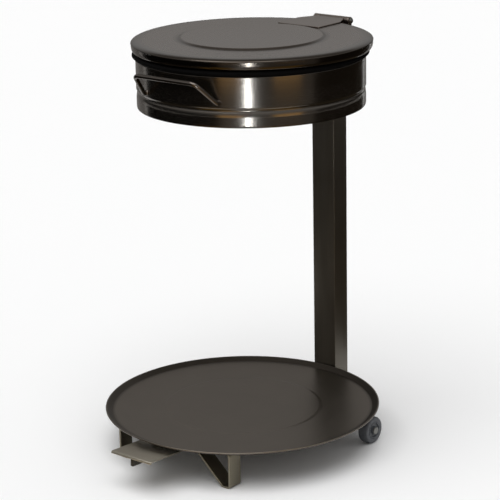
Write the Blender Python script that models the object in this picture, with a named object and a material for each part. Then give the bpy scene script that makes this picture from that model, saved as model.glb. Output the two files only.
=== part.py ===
"""Pedal-operated waste bag stand in stainless steel, in metres, +Z up, pedal towards -Y.

A round foot tray on two strip feet and two wheels carries an oblong column. The column holds a bag
ring with a rubber clamp band and a lifting handle, and a hinged lid. A lever under the tray lifts a
push rod inside the column, and the rod's yoke turns the lid by a crank.
"""

import math

import bmesh
import bpy
from mathutils import Vector

# Clearances
FIT_GAP = 0.0003
SIDE_PLAY = 0.0005

# Round pieces: flats round the large turned pieces and the small ones
LARGE_STEPS = 60
SMALL_STEPS = 20
HEX_STEPS = 6
TYRE_STEPS = 32
KNUCKLE_STEPS = 18
EYE_STEPS = 8

# Foot tray
BASE_RADIUS = 0.250
BASE_SHEET = 0.0015
BASE_UNDERSIDE = 0.0665
LIP_WIDTH = 0.012
LIP_RISE = 0.007
BASE_CIRCLE_RADIUS = 0.143
BASE_CIRCLE_RISE = 0.002
CIRCLE_SLOPE = 0.005

# Column and its channel under the tray
COLUMN_WIDTH = 0.050
COLUMN_DEPTH = 0.040
COLUMN_WALL = 0.002
COLUMN_CORNER = 0.004
COLUMN_BEHIND_TRAY = 0.0018
RAIL_WIDTH = 0.040
RAIL_WALL = 0.002
RAIL_BELOW_PIVOT = 0.0106
RAIL_AHEAD_OF_PIVOT = 0.035
PLUG_FLANGE = 0.003
PLUG_INSERT = 0.003

# Strip feet at the front
FOOT_STRIP = 0.004
FOOT_WIDTH = 0.030
FOOT_BEND = 0.005
FOOT_INSET = 0.0162
FOOT_ANGLE = math.radians(33.5)
FOOT_SOLE = 0.016
FOOT_REACH = 0.082
FOOT_OUTER_FLANGE = 0.028
FOOT_INNER_FLANGE = 0.022

# Wheels at the rear
WHEEL_RADIUS = 0.025
WHEEL_WIDTH = 0.020
WHEEL_INSET = 0.0167
WHEEL_ANGLE = math.radians(56.7)
TYRE_ROUNDING = 0.003
HUB_RADIUS = 0.0155
HUB_WIDTH = 0.022
AXLE_RADIUS = 0.004
AXLE_HEAD_RADIUS = 0.007
AXLE_HEAD = 0.003
AXLE_HEAD_ROUNDING = 0.0015
HANGER_WALL = 0.0025
HANGER_WIDTH = 0.030
HANGER_DEPTH = 0.030
HANGER_EYE = 0.010
NUT_RADIUS = 0.0075
NUT_HEIGHT = 0.005

# Bag ring, clamp band and handle
RING_RADIUS = 0.2028
RING_SHEET = 0.0012
RING_WALL = 0.0845
RING_SHOULDER = 0.002
NECK_SETBACK = 0.004
NECK_RISE = 0.022
GROOVE_ABOVE_EDGE = 0.0215
GROOVE_HEIGHT = 0.013
GROOVE_DEPTH = 0.0025
LOWER_WALL_SETBACK = 0.0012
BAND_STANDOUT = 0.006
BAND_HEIGHT = 0.0122
BAND_EDGE_DROP = 0.0035
HANDLE_BAR = 0.004
HANDLE_FOOT_X = 0.080
HANDLE_FOOT_ABOVE_GROOVE = 0.008
HANDLE_FOOT_OUT = 0.006
HANDLE_CROSS_X = 0.067
HANDLE_CROSS_OUT = 0.0275
HANDLE_RISE = 0.0385
HANDLE_KNEE_BEND = 0.006
HANDLE_BEND = 0.014

# Ring saddle and its bolts
SADDLE_WIDTH = 0.036
SADDLE_HEIGHT = 0.036
SADDLE_BELOW_SHOULDER = 0.006
BOLT_RADIUS = 0.003
BOLT_SPREAD = 0.0115
BOLT_HEAD_RADIUS = 0.0052
BOLT_HEAD = 0.003
BOLT_NUT_RADIUS = 0.0057
BOLT_NUT = 0.004

# Lid
LID_OVERHANG = 0.0044
LID_SHEET = 0.0012
LID_TOP = 0.7425
LID_OVER_COLUMN = 0.008
LID_SHOULDER_WIDTH = 0.013
LID_SHOULDER_DROP = 0.005
SKIRT_DROP = 0.015
SKIRT_TAPER = 0.0065
LID_CIRCLE_INSET = 0.0862
LID_CIRCLE_RISE = 0.003
LID_REST_GAP = 0.001
NOTCH_WIDTH = 0.026

# Lid hinge
KNUCKLE_RADIUS = 0.007
KNUCKLE_ABOVE_STRAP = 0.0022
HINGE_PIN_RADIUS = 0.003
HINGE_HALF_WIDTH = 0.040
LID_KNUCKLE_HALF = 0.028
PIN_HEAD_RADIUS = 0.005
PIN_HEAD = 0.0025
STRAP_HALF_WIDTH = 0.047
STRAP_TAPER = 0.032
STRAP_STEP = 0.002
STRAP_SHEET = 0.002
STRAP_TO_CIRCLE = 0.003
BRACKET_PLATE = 0.003
BRACKET_STEM = 0.008
BRACKET_BELOW_SKIRT = 0.0027

# Crank, push rod and yoke
LID_OPEN = math.radians(75.0)
CRANK_RADIUS = 0.025
CRANK_PLATE = 0.005
CRANK_EYE = 0.0055
CRANK_ROOT = 0.020
CRANK_PIN_RADIUS = 0.0025
SLOT_PLAY = 0.0006
ROD_RADIUS = 0.004
ROD_WALL_GAP = 0.0049
YOKE_SIZE = 0.016
YOKE_TINE = 0.005
YOKE_SLOT_WALL = 0.0031
YOKE_BLOCK = 0.009
ROD_IN_YOKE = 0.007
ROD_FOOT_RADIUS = 0.007
ROD_FOOT_HEIGHT = 0.012
ROD_FOOT_DOME = 0.003
GUIDE_HEIGHT = 0.010
GUIDE_BELOW_TOP = 0.095
GUIDE_ABOVE_TRAY = 0.080

# Pedal lever
PIVOT_Y = 0.0
PIVOT_PIN_RADIUS = 0.004
SPACER_RADIUS = 0.008
LEVER_HEIGHT = 0.016
LEVER_THICKNESS = 0.006
LEVER_PAST_ROD = 0.008
LEVER_SLOT_ROOM = 0.002
LEVER_TOP_ROOM = 0.0022
PEDAL_SHEET = 0.0025
PEDAL_WIDTH = 0.092
PEDAL_DEPTH = 0.086
PEDAL_REACH = 0.056
PEDAL_LIP = 0.005

# Levels worked out from the lid down
SKIRT_TOP = LID_TOP - LID_SHOULDER_DROP
SKIRT_BOTTOM = SKIRT_TOP - SKIRT_DROP
BAND_TOP = SKIRT_BOTTOM - LID_REST_GAP
BAND_BOTTOM = BAND_TOP - BAND_HEIGHT
RING_SHOULDER_Z = BAND_BOTTOM - FIT_GAP
RING_BOTTOM = RING_SHOULDER_Z - RING_WALL
GROOVE_BOTTOM = RING_BOTTOM + GROOVE_ABOVE_EDGE
GROOVE_TOP = GROOVE_BOTTOM + GROOVE_HEIGHT
NECK_TOP = min(RING_SHOULDER_Z + NECK_RISE, LID_TOP - LID_SHEET - LID_REST_GAP)
NECK_RADIUS = RING_RADIUS - NECK_SETBACK
BAND_RADIUS = RING_RADIUS + BAND_STANDOUT
HINGE_Z = LID_TOP + FIT_GAP + STRAP_SHEET + KNUCKLE_ABOVE_STRAP - KNUCKLE_RADIUS
BRACKET_TOP = SKIRT_BOTTOM - BRACKET_BELOW_SKIRT
COLUMN_TOP = BRACKET_TOP - BRACKET_PLATE - FIT_GAP
BASE_TOP = BASE_UNDERSIDE + BASE_SHEET
RIM_TOP = BASE_TOP + LIP_RISE
RAIL_TOP = BASE_UNDERSIDE - FIT_GAP

# Places along the depth, from the tray's centre
COLUMN_FRONT = BASE_RADIUS + COLUMN_BEHIND_TRAY
COLUMN_REAR = COLUMN_FRONT + COLUMN_DEPTH
RING_Y = COLUMN_FRONT - SIDE_PLAY - BAND_RADIUS
LID_RADIUS = BAND_RADIUS + LID_OVERHANG
LID_Y = COLUMN_FRONT + LID_OVER_COLUMN - LID_RADIUS
LID_CIRCLE_RADIUS = LID_RADIUS - LID_CIRCLE_INSET
STRAP_FRONT_Y = LID_Y + LID_CIRCLE_RADIUS + CIRCLE_SLOPE / 2 + STRAP_TO_CIRCLE
ROD_Y = COLUMN_FRONT + COLUMN_WALL + ROD_WALL_GAP + ROD_RADIUS
HALF_OPEN = LID_OPEN / 2
HINGE_Y = ROD_Y + CRANK_RADIUS * (1 + math.cos(HALF_OPEN)) / 2
CRANK_PIN_Y = HINGE_Y - CRANK_RADIUS * math.cos(HALF_OPEN)
CRANK_PIN_Z = HINGE_Z - CRANK_RADIUS * math.sin(HALF_OPEN)
ROD_TRAVEL = 2 * CRANK_RADIUS * math.sin(HALF_OPEN)
REAR_ARM = ROD_Y - PIVOT_Y
LEVER_TILT = math.atan(ROD_TRAVEL / 2 / REAR_ARM)
LEVER_HALF = LEVER_HEIGHT / 2
PIVOT_HEIGHT = RAIL_TOP - RAIL_WALL - LEVER_TOP_ROOM - LEVER_HALF - ROD_TRAVEL / 2
RAIL_LOW = PIVOT_HEIGHT - RAIL_BELOW_PIVOT
LEVER_LOW = PIVOT_HEIGHT - ROD_TRAVEL / 2 - LEVER_HALF
LEVER_HIGH = PIVOT_HEIGHT + ROD_TRAVEL / 2 + LEVER_HALF
SLOT_LOW = LEVER_LOW - LEVER_SLOT_ROOM
SLOT_HIGH = LEVER_HIGH + LEVER_SLOT_ROOM / 2
COLUMN_BOTTOM = SLOT_LOW - PLUG_INSERT - FIT_GAP
PEDAL_FRONT = BASE_RADIUS + PEDAL_REACH + PIVOT_Y
PEDAL_LIP_LOW = LEVER_HALF + FIT_GAP + PEDAL_SHEET - PEDAL_LIP
PEDAL_TIP_Y = PIVOT_Y - PEDAL_FRONT * math.cos(LEVER_TILT) + PEDAL_LIP_LOW * math.sin(LEVER_TILT)
REAR_MOST = max(COLUMN_REAR, HINGE_Y + KNUCKLE_RADIUS)
CENTRING = -(PEDAL_TIP_Y + REAR_MOST) / 2

for old in list(bpy.data.objects):
    bpy.data.objects.remove(old)


def finish(name, colour, metallic, roughness):
    """A Principled BSDF material of one colour."""
    made = bpy.data.materials.new(name)
    made.use_nodes = True
    shader = made.node_tree.nodes["Principled BSDF"]
    shader.inputs["Base Color"].default_value = (*colour, 1.0)
    shader.inputs["Metallic"].default_value = metallic
    shader.inputs["Roughness"].default_value = roughness
    return made


SATIN_STEEL = finish("satin_stainless", (0.30, 0.28, 0.26), 1.0, 0.35)
POLISHED_STEEL = finish("polished_stainless", (0.34, 0.31, 0.28), 1.0, 0.18)
ZINC_STEEL = finish("zinc_plated_steel", (0.45, 0.45, 0.44), 1.0, 0.40)
BLACK_RUBBER = finish("black_rubber", (0.012, 0.012, 0.012), 0.0, 0.60)
GREY_RUBBER = finish("grey_rubber", (0.16, 0.16, 0.17), 0.0, 0.65)
GREY_PLASTIC = finish("grey_nylon", (0.22, 0.22, 0.23), 0.0, 0.50)
BLACK_PLASTIC = finish("black_nylon", (0.02, 0.02, 0.02), 0.0, 0.50)


def empty(name, place, parent=None):
    """An axis or origin marker that pieces hang on."""
    made = bpy.data.objects.new(name, None)
    made.location = place
    made.parent = parent
    bpy.context.collection.objects.link(made)
    return made


STAND = empty("stand_origin", (0.0, CENTRING, 0.0))
LID_AXIS = empty("lid_axis", (0.0, HINGE_Y, HINGE_Z), STAND)
ROD_AXIS = empty("rod_axis", (0.0, ROD_Y, 0.0), STAND)
PEDAL_AXIS = empty("pedal_axis", (0.0, PIVOT_Y, PIVOT_HEIGHT), STAND)
PEDAL_AXIS.rotation_euler = (-LEVER_TILT, 0.0, 0.0)


def add(name, data, material, holder):
    """An object of this mesh or curve under its holder."""
    made = bpy.data.objects.new(name, data)
    made.parent = holder
    if material:
        data.materials.append(material)
    bpy.context.collection.objects.link(made)
    return made


def prism(name, outline, axis, low, high, material=None, holder=STAND):
    """A flat outline pushed along one axis. Its points hold the other two coordinates, in order."""
    shape = bmesh.new()
    corners = [shape.verts.new([*point[:axis], low, *point[axis:]]) for point in outline]
    pushed = bmesh.ops.extrude_face_region(shape, geom=[shape.faces.new(corners)])
    moved = [item for item in pushed["geom"] if isinstance(item, bmesh.types.BMVert)]
    push = Vector((0.0, 0.0, 0.0))
    push[axis] = high - low
    bmesh.ops.translate(shape, verts=moved, vec=push)
    bmesh.ops.recalc_face_normals(shape, faces=shape.faces[:])
    mesh = bpy.data.meshes.new(name)
    shape.to_mesh(mesh)
    shape.free()
    return add(name, mesh, material, holder)


def block(name, low, high, material=None, holder=STAND):
    """A box between two corners."""
    (x0, y0, z0), (x1, y1, z1) = low, high
    return prism(name, [(x0, y0), (x1, y0), (x1, y1), (x0, y1)], 2, z0, z1, material, holder)


TURNS = {"X": (0.0, math.pi / 2, 0.0), "Y": (-math.pi / 2, 0.0, 0.0), "Z": (0.0, 0.0, 0.0)}


def turned(name, profile, place, material=None, holder=STAND, axis="Z", steps=SMALL_STEPS, loop=False):
    """A profile of radius and height, top to bottom on its outer side, turned about an axis."""
    mesh = bpy.data.meshes.new(name)
    edges = [(i, i + 1) for i in range(len(profile) - 1)]
    if loop:
        edges.append((len(profile) - 1, 0))
    mesh.from_pydata([(radius, 0.0, height) for radius, height in profile], edges, [])
    made = add(name, mesh, material, holder)
    made.location = place
    made.rotation_euler = TURNS[axis]
    screw = made.modifiers.new("turn", "SCREW")
    screw.steps = steps
    screw.render_steps = steps
    screw.use_merge_vertices = True
    screw.merge_threshold = 0.00001
    screw.use_smooth_shade = True
    return made


def rod_profile(radius, low, high):
    """A plain round bar's profile between two heights."""
    return [(0.0, high), (radius, high), (radius, low), (0.0, low)]


def tube_profile(outer, inner, low, high):
    """A plain tube's closed profile between two heights."""
    return [(outer, high), (outer, low), (inner, low), (inner, high)]


def combine(target, tool, operation):
    """Cut a tool out of a piece, or join it on, and keep the tool out of the finished model."""
    change = target.modifiers.new(tool.name, "BOOLEAN")
    change.operation = operation
    change.object = tool
    change.solver = "EXACT"
    tool.hide_render = True
    tool.display_type = "WIRE"


def cut(target, *tools):
    """Cut each tool out of a piece."""
    for tool in tools:
        combine(target, tool, "DIFFERENCE")


def join(target, *tools):
    """Join each tool on to a piece."""
    for tool in tools:
        combine(target, tool, "UNION")


def rounded(points, radii, steps=4):
    """A path through points with each inner corner turned into an arc of its own radius."""
    path = [Vector(points[0])]
    for before, corner, after, radius in zip(points, points[1:], points[2:], radii):
        corner = Vector(corner)
        arriving = (corner - Vector(before)).normalized()
        leaving = (Vector(after) - corner).normalized()
        turn = arriving.angle(leaving)
        inward = (leaving - arriving * arriving.dot(leaving)).normalized()
        start = corner - arriving * radius * math.tan(turn / 2)
        centre = start + inward * radius
        for step in range(steps + 1):
            swept = turn * step / steps
            path.append(centre - inward * radius * math.cos(swept) + arriving * radius * math.sin(swept))
    path.append(Vector(points[-1]))
    return path


def strip_outline(path, thickness):
    """The edge-on outline of a strip of this thickness along a flat path."""
    left, right = [], []
    for index, point in enumerate(path):
        before = path[max(index - 1, 0)]
        after = path[min(index + 1, len(path) - 1)]
        along = (after - before).normalized()
        across = Vector((-along[1], along[0])) * thickness / 2
        left.append(point + across)
        right.append(point - across)
    return [tuple(point) for point in left + right[::-1]]


def arc(centre, radius, start, end, steps):
    """Points on an arc from one angle in degrees to another, counted from the first axis."""
    swept = [math.radians(start + (end - start) * i / steps) for i in range(steps + 1)]
    return [(centre[0] + radius * math.cos(a), centre[1] + radius * math.sin(a)) for a in swept]


def foot_tray():
    """The round tray: a flat sheet with a raised circle and a flared lip."""
    flat = BASE_RADIUS - LIP_WIDTH
    inner = BASE_CIRCLE_RADIUS - CIRCLE_SLOPE / 2
    outer = BASE_CIRCLE_RADIUS + CIRCLE_SLOPE / 2
    upper = [(0.0, BASE_CIRCLE_RISE), (inner, BASE_CIRCLE_RISE), (outer, 0.0), (flat, 0.0)]
    upper.append((BASE_RADIUS, LIP_RISE))
    profile = [(radius, BASE_TOP + rise) for radius, rise in upper]
    profile += [(radius, BASE_UNDERSIDE + rise) for radius, rise in reversed(upper)]
    turned("base_plate", profile, (0.0, 0.0, 0.0), SATIN_STEEL, steps=LARGE_STEPS)


def front_feet():
    """Two strip feet, each a flange, an upright, a flat sole, a brace and a second flange."""
    outer = (BASE_RADIUS - FOOT_INSET) * math.sin(FOOT_ANGLE) - FOOT_STRIP / 2
    front = -(BASE_RADIUS - FOOT_INSET) * math.cos(FOOT_ANGLE)
    top = RAIL_TOP - FOOT_STRIP / 2
    sole = FOOT_STRIP / 2
    inner = outer - FOOT_REACH
    corners = [
        (outer - FOOT_OUTER_FLANGE, top),
        (outer, top),
        (outer, sole),
        (outer - FOOT_SOLE, sole),
        (inner, top),
        (inner - FOOT_INNER_FLANGE, top),
    ]
    outline = strip_outline(rounded(corners, [FOOT_BEND] * 4), FOOT_STRIP)
    for name, side in (("front_foot_left", -1), ("front_foot_right", 1)):
        mirrored = [(side * x, z) for x, z in outline]
        prism(name, mirrored, 1, front, front + FOOT_WIDTH, SATIN_STEEL)


def wheels():
    """Two wheels on stub axles, each axle in a hanger welded under the tray."""
    radial = BASE_RADIUS - WHEEL_INSET
    middle = radial * math.sin(WHEEL_ANGLE)
    depth = radial * math.cos(WHEEL_ANGLE)
    eye = AXLE_RADIUS + FIT_GAP
    half = WHEEL_WIDTH / 2
    hub_half = HUB_WIDTH / 2
    tyre = [
        (WHEEL_RADIUS - TYRE_ROUNDING, half),
        (WHEEL_RADIUS, half - TYRE_ROUNDING),
        (WHEEL_RADIUS, TYRE_ROUNDING - half),
        (WHEEL_RADIUS - TYRE_ROUNDING, -half),
        (HUB_RADIUS + FIT_GAP, -half),
        (HUB_RADIUS + FIT_GAP, half),
    ]
    hanger_out = middle - hub_half - SIDE_PLAY
    hanger_in = hanger_out - HANGER_DEPTH
    head_out = middle + hub_half + SIDE_PLAY
    nut_out = hanger_in - FIT_GAP
    rounding = arc((depth, WHEEL_RADIUS), HANGER_EYE, 0, -180, EYE_STEPS)
    cheek = [(depth - HANGER_WIDTH / 2, RAIL_TOP), (depth + HANGER_WIDTH / 2, RAIL_TOP), *rounding]
    for hand, side in (("left", -1), ("right", 1)):
        spin = empty(f"wheel_{hand}_axis", (side * middle, depth, WHEEL_RADIUS), STAND)
        turned(f"wheel_{hand}_tyre", tyre, (0.0, 0.0, 0.0), GREY_RUBBER, spin, "X", TYRE_STEPS, loop=True)
        hub = tube_profile(HUB_RADIUS, eye, -hub_half, hub_half)
        turned(f"wheel_{hand}_hub", hub, (0.0, 0.0, 0.0), GREY_PLASTIC, spin, "X", loop=True)
        reach = sorted((side * hanger_in, side * hanger_out))
        hanger = prism(f"wheel_{hand}_hanger", cheek, 0, *reach, ZINC_STEEL)
        room = sorted((side * (hanger_in + HANGER_WALL), side * (hanger_out - HANGER_WALL)))
        gap = block(
            f"cut_hanger_{hand}",
            (room[0], depth - HANGER_WIDTH, 0.0),
            (room[1], depth + HANGER_WIDTH, RAIL_TOP - HANGER_WALL),
        )
        bore = rod_profile(eye, -HANGER_DEPTH, HANGER_DEPTH)
        place = (side * (hanger_in + hanger_out) / 2, depth, WHEEL_RADIUS)
        cut(hanger, gap, turned(f"cut_axle_{hand}", bore, place, axis="X"))
        low = nut_out - NUT_HEIGHT
        crown = head_out + AXLE_HEAD
        bolt = [(0.0, crown), (AXLE_HEAD_RADIUS - AXLE_HEAD_ROUNDING, crown)]
        bolt += [(AXLE_HEAD_RADIUS, crown - AXLE_HEAD_ROUNDING), (AXLE_HEAD_RADIUS, head_out)]
        bolt += [(AXLE_RADIUS, head_out), (AXLE_RADIUS, low), (0.0, low)]
        axle = turned(f"wheel_{hand}_axle", bolt, (0.0, depth, WHEEL_RADIUS), ZINC_STEEL, axis="X")
        bored = eye / math.cos(math.pi / HEX_STEPS)
        ring = tube_profile(NUT_RADIUS, bored, low, nut_out)
        place = (0.0, depth, WHEEL_RADIUS)
        nut = turned(f"wheel_{hand}_nut", ring, place, ZINC_STEEL, axis="X", steps=HEX_STEPS, loop=True)
        if side < 0:
            for piece in (axle, nut):
                piece.rotation_euler = (0.0, -math.pi / 2, 0.0)


def column():
    """The oblong tube, its channel under the tray, its bottom plug and the two rod guides."""
    half = COLUMN_WIDTH / 2
    seam = (0.0, COLUMN_REAR)
    oblong = [(-half, COLUMN_REAR), (-half, COLUMN_FRONT), (half, COLUMN_FRONT), (half, COLUMN_REAR)]
    outline = rounded([seam, *oblong, seam], [COLUMN_CORNER] * 4, 3)[:-1]
    tube = prism("column", outline, 2, COLUMN_BOTTOM, COLUMN_TOP, SATIN_STEEL)
    inside = half - COLUMN_WALL
    bore_front = COLUMN_FRONT + COLUMN_WALL
    bore_rear = COLUMN_REAR - COLUMN_WALL
    bore = block(
        "cut_column_bore",
        (-inside, bore_front, COLUMN_BOTTOM - COLUMN_WALL),
        (inside, bore_rear, COLUMN_TOP + COLUMN_WALL),
    )
    slot_half = LEVER_THICKNESS / 2 + LEVER_SLOT_ROOM
    slot = block(
        "cut_column_slot",
        (-slot_half, COLUMN_FRONT - COLUMN_WALL, SLOT_LOW),
        (slot_half, COLUMN_FRONT + 2 * COLUMN_WALL, SLOT_HIGH),
    )
    cut(tube, bore, slot, *bolt_holes("column", COLUMN_FRONT - COLUMN_WALL, COLUMN_FRONT + 2 * COLUMN_WALL))

    plug = block(
        "column_foot_plug",
        (-half, COLUMN_FRONT, COLUMN_BOTTOM - FIT_GAP - PLUG_FLANGE),
        (half, COLUMN_REAR, COLUMN_BOTTOM - FIT_GAP),
        BLACK_PLASTIC,
    )
    snug = inside - FIT_GAP
    boss = block(
        "join_plug_boss",
        (-snug, bore_front + FIT_GAP, COLUMN_BOTTOM - PLUG_FLANGE),
        (snug, bore_rear - FIT_GAP, COLUMN_BOTTOM + PLUG_INSERT - FIT_GAP),
    )
    join(plug, boss)

    for name, low in (
        ("rod_guide_lower", RIM_TOP + GUIDE_ABOVE_TRAY),
        ("rod_guide_upper", COLUMN_TOP - GUIDE_BELOW_TOP),
    ):
        guide = block(
            name,
            (-snug, bore_front + FIT_GAP, low),
            (snug, bore_rear - FIT_GAP, low + GUIDE_HEIGHT),
            BLACK_PLASTIC,
        )
        through = rod_profile(ROD_RADIUS + SIDE_PLAY, low - GUIDE_HEIGHT, low + 2 * GUIDE_HEIGHT)
        cut(guide, turned(f"cut_{name}", through, (0.0, ROD_Y, 0.0)))

    wide = RAIL_WIDTH / 2
    front = PIVOT_Y - RAIL_AHEAD_OF_PIVOT
    low = RAIL_LOW
    web = RAIL_TOP - RAIL_WALL
    channel = [(-wide, low), (-wide, RAIL_TOP), (wide, RAIL_TOP), (wide, low)]
    inner = wide - RAIL_WALL
    channel += [(inner, low), (inner, web), (-inner, web), (-inner, low)]
    rail = prism("base_rail", channel, 1, front, COLUMN_FRONT - FIT_GAP, SATIN_STEEL)
    pin_hole = rod_profile(PIVOT_PIN_RADIUS + FIT_GAP, -RAIL_WIDTH, RAIL_WIDTH)
    cut(rail, turned("cut_rail_pin", pin_hole, (0.0, PIVOT_Y, PIVOT_HEIGHT), axis="X"))


def bolt_height():
    """The height of the two bolts that hold the bag ring."""
    return RING_SHOULDER_Z - SADDLE_BELOW_SHOULDER - SADDLE_HEIGHT / 2


def bolt_holes(name, low, high):
    """Two bolt-hole cutters between two depths."""
    hole = rod_profile(BOLT_RADIUS + FIT_GAP, low, high)
    places = ((-BOLT_SPREAD, 0.0, bolt_height()), (BOLT_SPREAD, 0.0, bolt_height()))
    return [turned(f"cut_{name}_bolt_{i}", hole, place, axis="Y") for i, place in enumerate(places)]


def bag_ring():
    """The bag ring: a grooved wall, a shoulder and a neck, with the clamp band round the neck."""
    low_radius = RING_RADIUS - LOWER_WALL_SETBACK
    groove_steps = 4
    groove = []
    for step in range(1, groove_steps):
        share = step / groove_steps
        depth = GROOVE_DEPTH * math.sin(math.pi * share)
        groove.append((RING_RADIUS - LOWER_WALL_SETBACK * share - depth, GROOVE_TOP - GROOVE_HEIGHT * share))
    outer = [
        (NECK_RADIUS, NECK_TOP),
        (NECK_RADIUS, RING_SHOULDER_Z),
        (RING_RADIUS - RING_SHOULDER, RING_SHOULDER_Z),
        (RING_RADIUS, RING_SHOULDER_Z - RING_SHOULDER),
        (RING_RADIUS, GROOVE_TOP),
        *groove,
        (low_radius, GROOVE_BOTTOM),
        (low_radius, RING_BOTTOM),
    ]
    inner = [(radius - RING_SHEET, height) for radius, height in outer]
    inner[1] = (NECK_RADIUS - RING_SHEET, RING_SHOULDER_Z - RING_SHEET)
    inner[2] = (RING_RADIUS - RING_SHOULDER - RING_SHEET / 2, RING_SHOULDER_Z - RING_SHEET)
    inner[3] = (RING_RADIUS - RING_SHEET, RING_SHOULDER_Z - RING_SHOULDER - RING_SHEET / 2)
    place = (0.0, RING_Y, 0.0)
    ring = turned("bag_ring", outer + inner[::-1], place, POLISHED_STEEL, steps=LARGE_STEPS, loop=True)
    rear = RING_Y + RING_RADIUS
    cut(ring, *bolt_holes("ring", rear - 4 * BOLT_HEAD, rear + BOLT_HEAD))

    hole = NECK_RADIUS + FIT_GAP
    edge = BAND_RADIUS - BAND_EDGE_DROP
    bulge = [
        (edge, BAND_TOP),
        (BAND_RADIUS - BAND_EDGE_DROP / 4, BAND_TOP - BAND_HEIGHT / 4),
        (BAND_RADIUS, BAND_TOP - BAND_HEIGHT / 2),
        (BAND_RADIUS - BAND_EDGE_DROP / 4, BAND_BOTTOM + BAND_HEIGHT / 4),
        (edge, BAND_BOTTOM),
        (hole, BAND_BOTTOM),
        (hole, BAND_TOP),
    ]
    turned("bag_clamp_band", bulge, place, BLACK_RUBBER, steps=LARGE_STEPS, loop=True)


def ring_saddle():
    """The block between ring and column, and the two bolts with their nuts inside the column."""
    top = RING_SHOULDER_Z - SADDLE_BELOW_SHOULDER
    low = top - SADDLE_HEIGHT
    half = SADDLE_WIDTH / 2
    wall = RING_Y + RING_RADIUS
    saddle = block(
        "ring_saddle",
        (-half, wall - SADDLE_WIDTH / 2, low),
        (half, COLUMN_FRONT - FIT_GAP, top),
        SATIN_STEEL,
    )
    hollow = rod_profile(RING_RADIUS + FIT_GAP, low - RING_WALL, top + RING_WALL)
    around = turned("cut_saddle_hollow", hollow, (0.0, RING_Y, 0.0), steps=LARGE_STEPS)
    cut(saddle, around, *bolt_holes("saddle", wall - SADDLE_WIDTH, COLUMN_REAR))

    seat = RING_Y + math.sqrt((RING_RADIUS - RING_SHEET) ** 2 - (BOLT_SPREAD + BOLT_HEAD_RADIUS) ** 2)
    seat -= 2 * FIT_GAP
    nut_face = COLUMN_FRONT + COLUMN_WALL + FIT_GAP
    tip = nut_face + BOLT_NUT
    rounding = BOLT_HEAD / 2
    bolt = [(0.0, tip), (BOLT_RADIUS, tip), (BOLT_RADIUS, seat), (BOLT_HEAD_RADIUS, seat)]
    bolt += [(BOLT_HEAD_RADIUS, seat - rounding), (BOLT_HEAD_RADIUS - rounding, seat - BOLT_HEAD)]
    bolt += [(0.0, seat - BOLT_HEAD)]
    bored = (BOLT_RADIUS + FIT_GAP) / math.cos(math.pi / HEX_STEPS)
    nut = tube_profile(BOLT_NUT_RADIUS, bored, nut_face, tip)
    for hand, side in (("left", -1), ("right", 1)):
        place = (side * BOLT_SPREAD, 0.0, bolt_height())
        turned(f"ring_bolt_{hand}", bolt, place, ZINC_STEEL, axis="Y")
        turned(f"ring_nut_{hand}", nut, place, ZINC_STEEL, axis="Y", steps=HEX_STEPS, loop=True)


def handle():
    """The lifting handle, one round bar bent out, up and across in front of the ring."""
    wall = RING_RADIUS + FIT_GAP
    lean = math.asin(HANDLE_FOOT_X / wall)
    outward = Vector((math.sin(lean), -math.cos(lean), 0.0))
    centre = Vector((0.0, RING_Y, GROOVE_TOP + HANDLE_FOOT_ABOVE_GROOVE))
    start = centre + outward * (wall + FIT_GAP)
    knee = centre + outward * (wall + HANDLE_FOOT_OUT)
    corner = Vector((HANDLE_CROSS_X, RING_Y - RING_RADIUS - HANDLE_CROSS_OUT, centre.z + HANDLE_RISE))
    right = [start, knee, corner]
    left = [Vector((-point.x, point.y, point.z)) for point in reversed(right)]
    path = rounded(right + left, [HANDLE_KNEE_BEND, HANDLE_BEND, HANDLE_BEND, HANDLE_KNEE_BEND])
    curve = bpy.data.curves.new("handle", "CURVE")
    curve.dimensions = "3D"
    curve.bevel_depth = HANDLE_BAR
    curve.bevel_resolution = 2
    curve.use_fill_caps = True
    spline = curve.splines.new("POLY")
    spline.points.add(len(path) - 1)
    for point, place in zip(spline.points, path):
        point.co = (*place, 1.0)
    add("handle", curve, POLISHED_STEEL, STAND)


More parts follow.
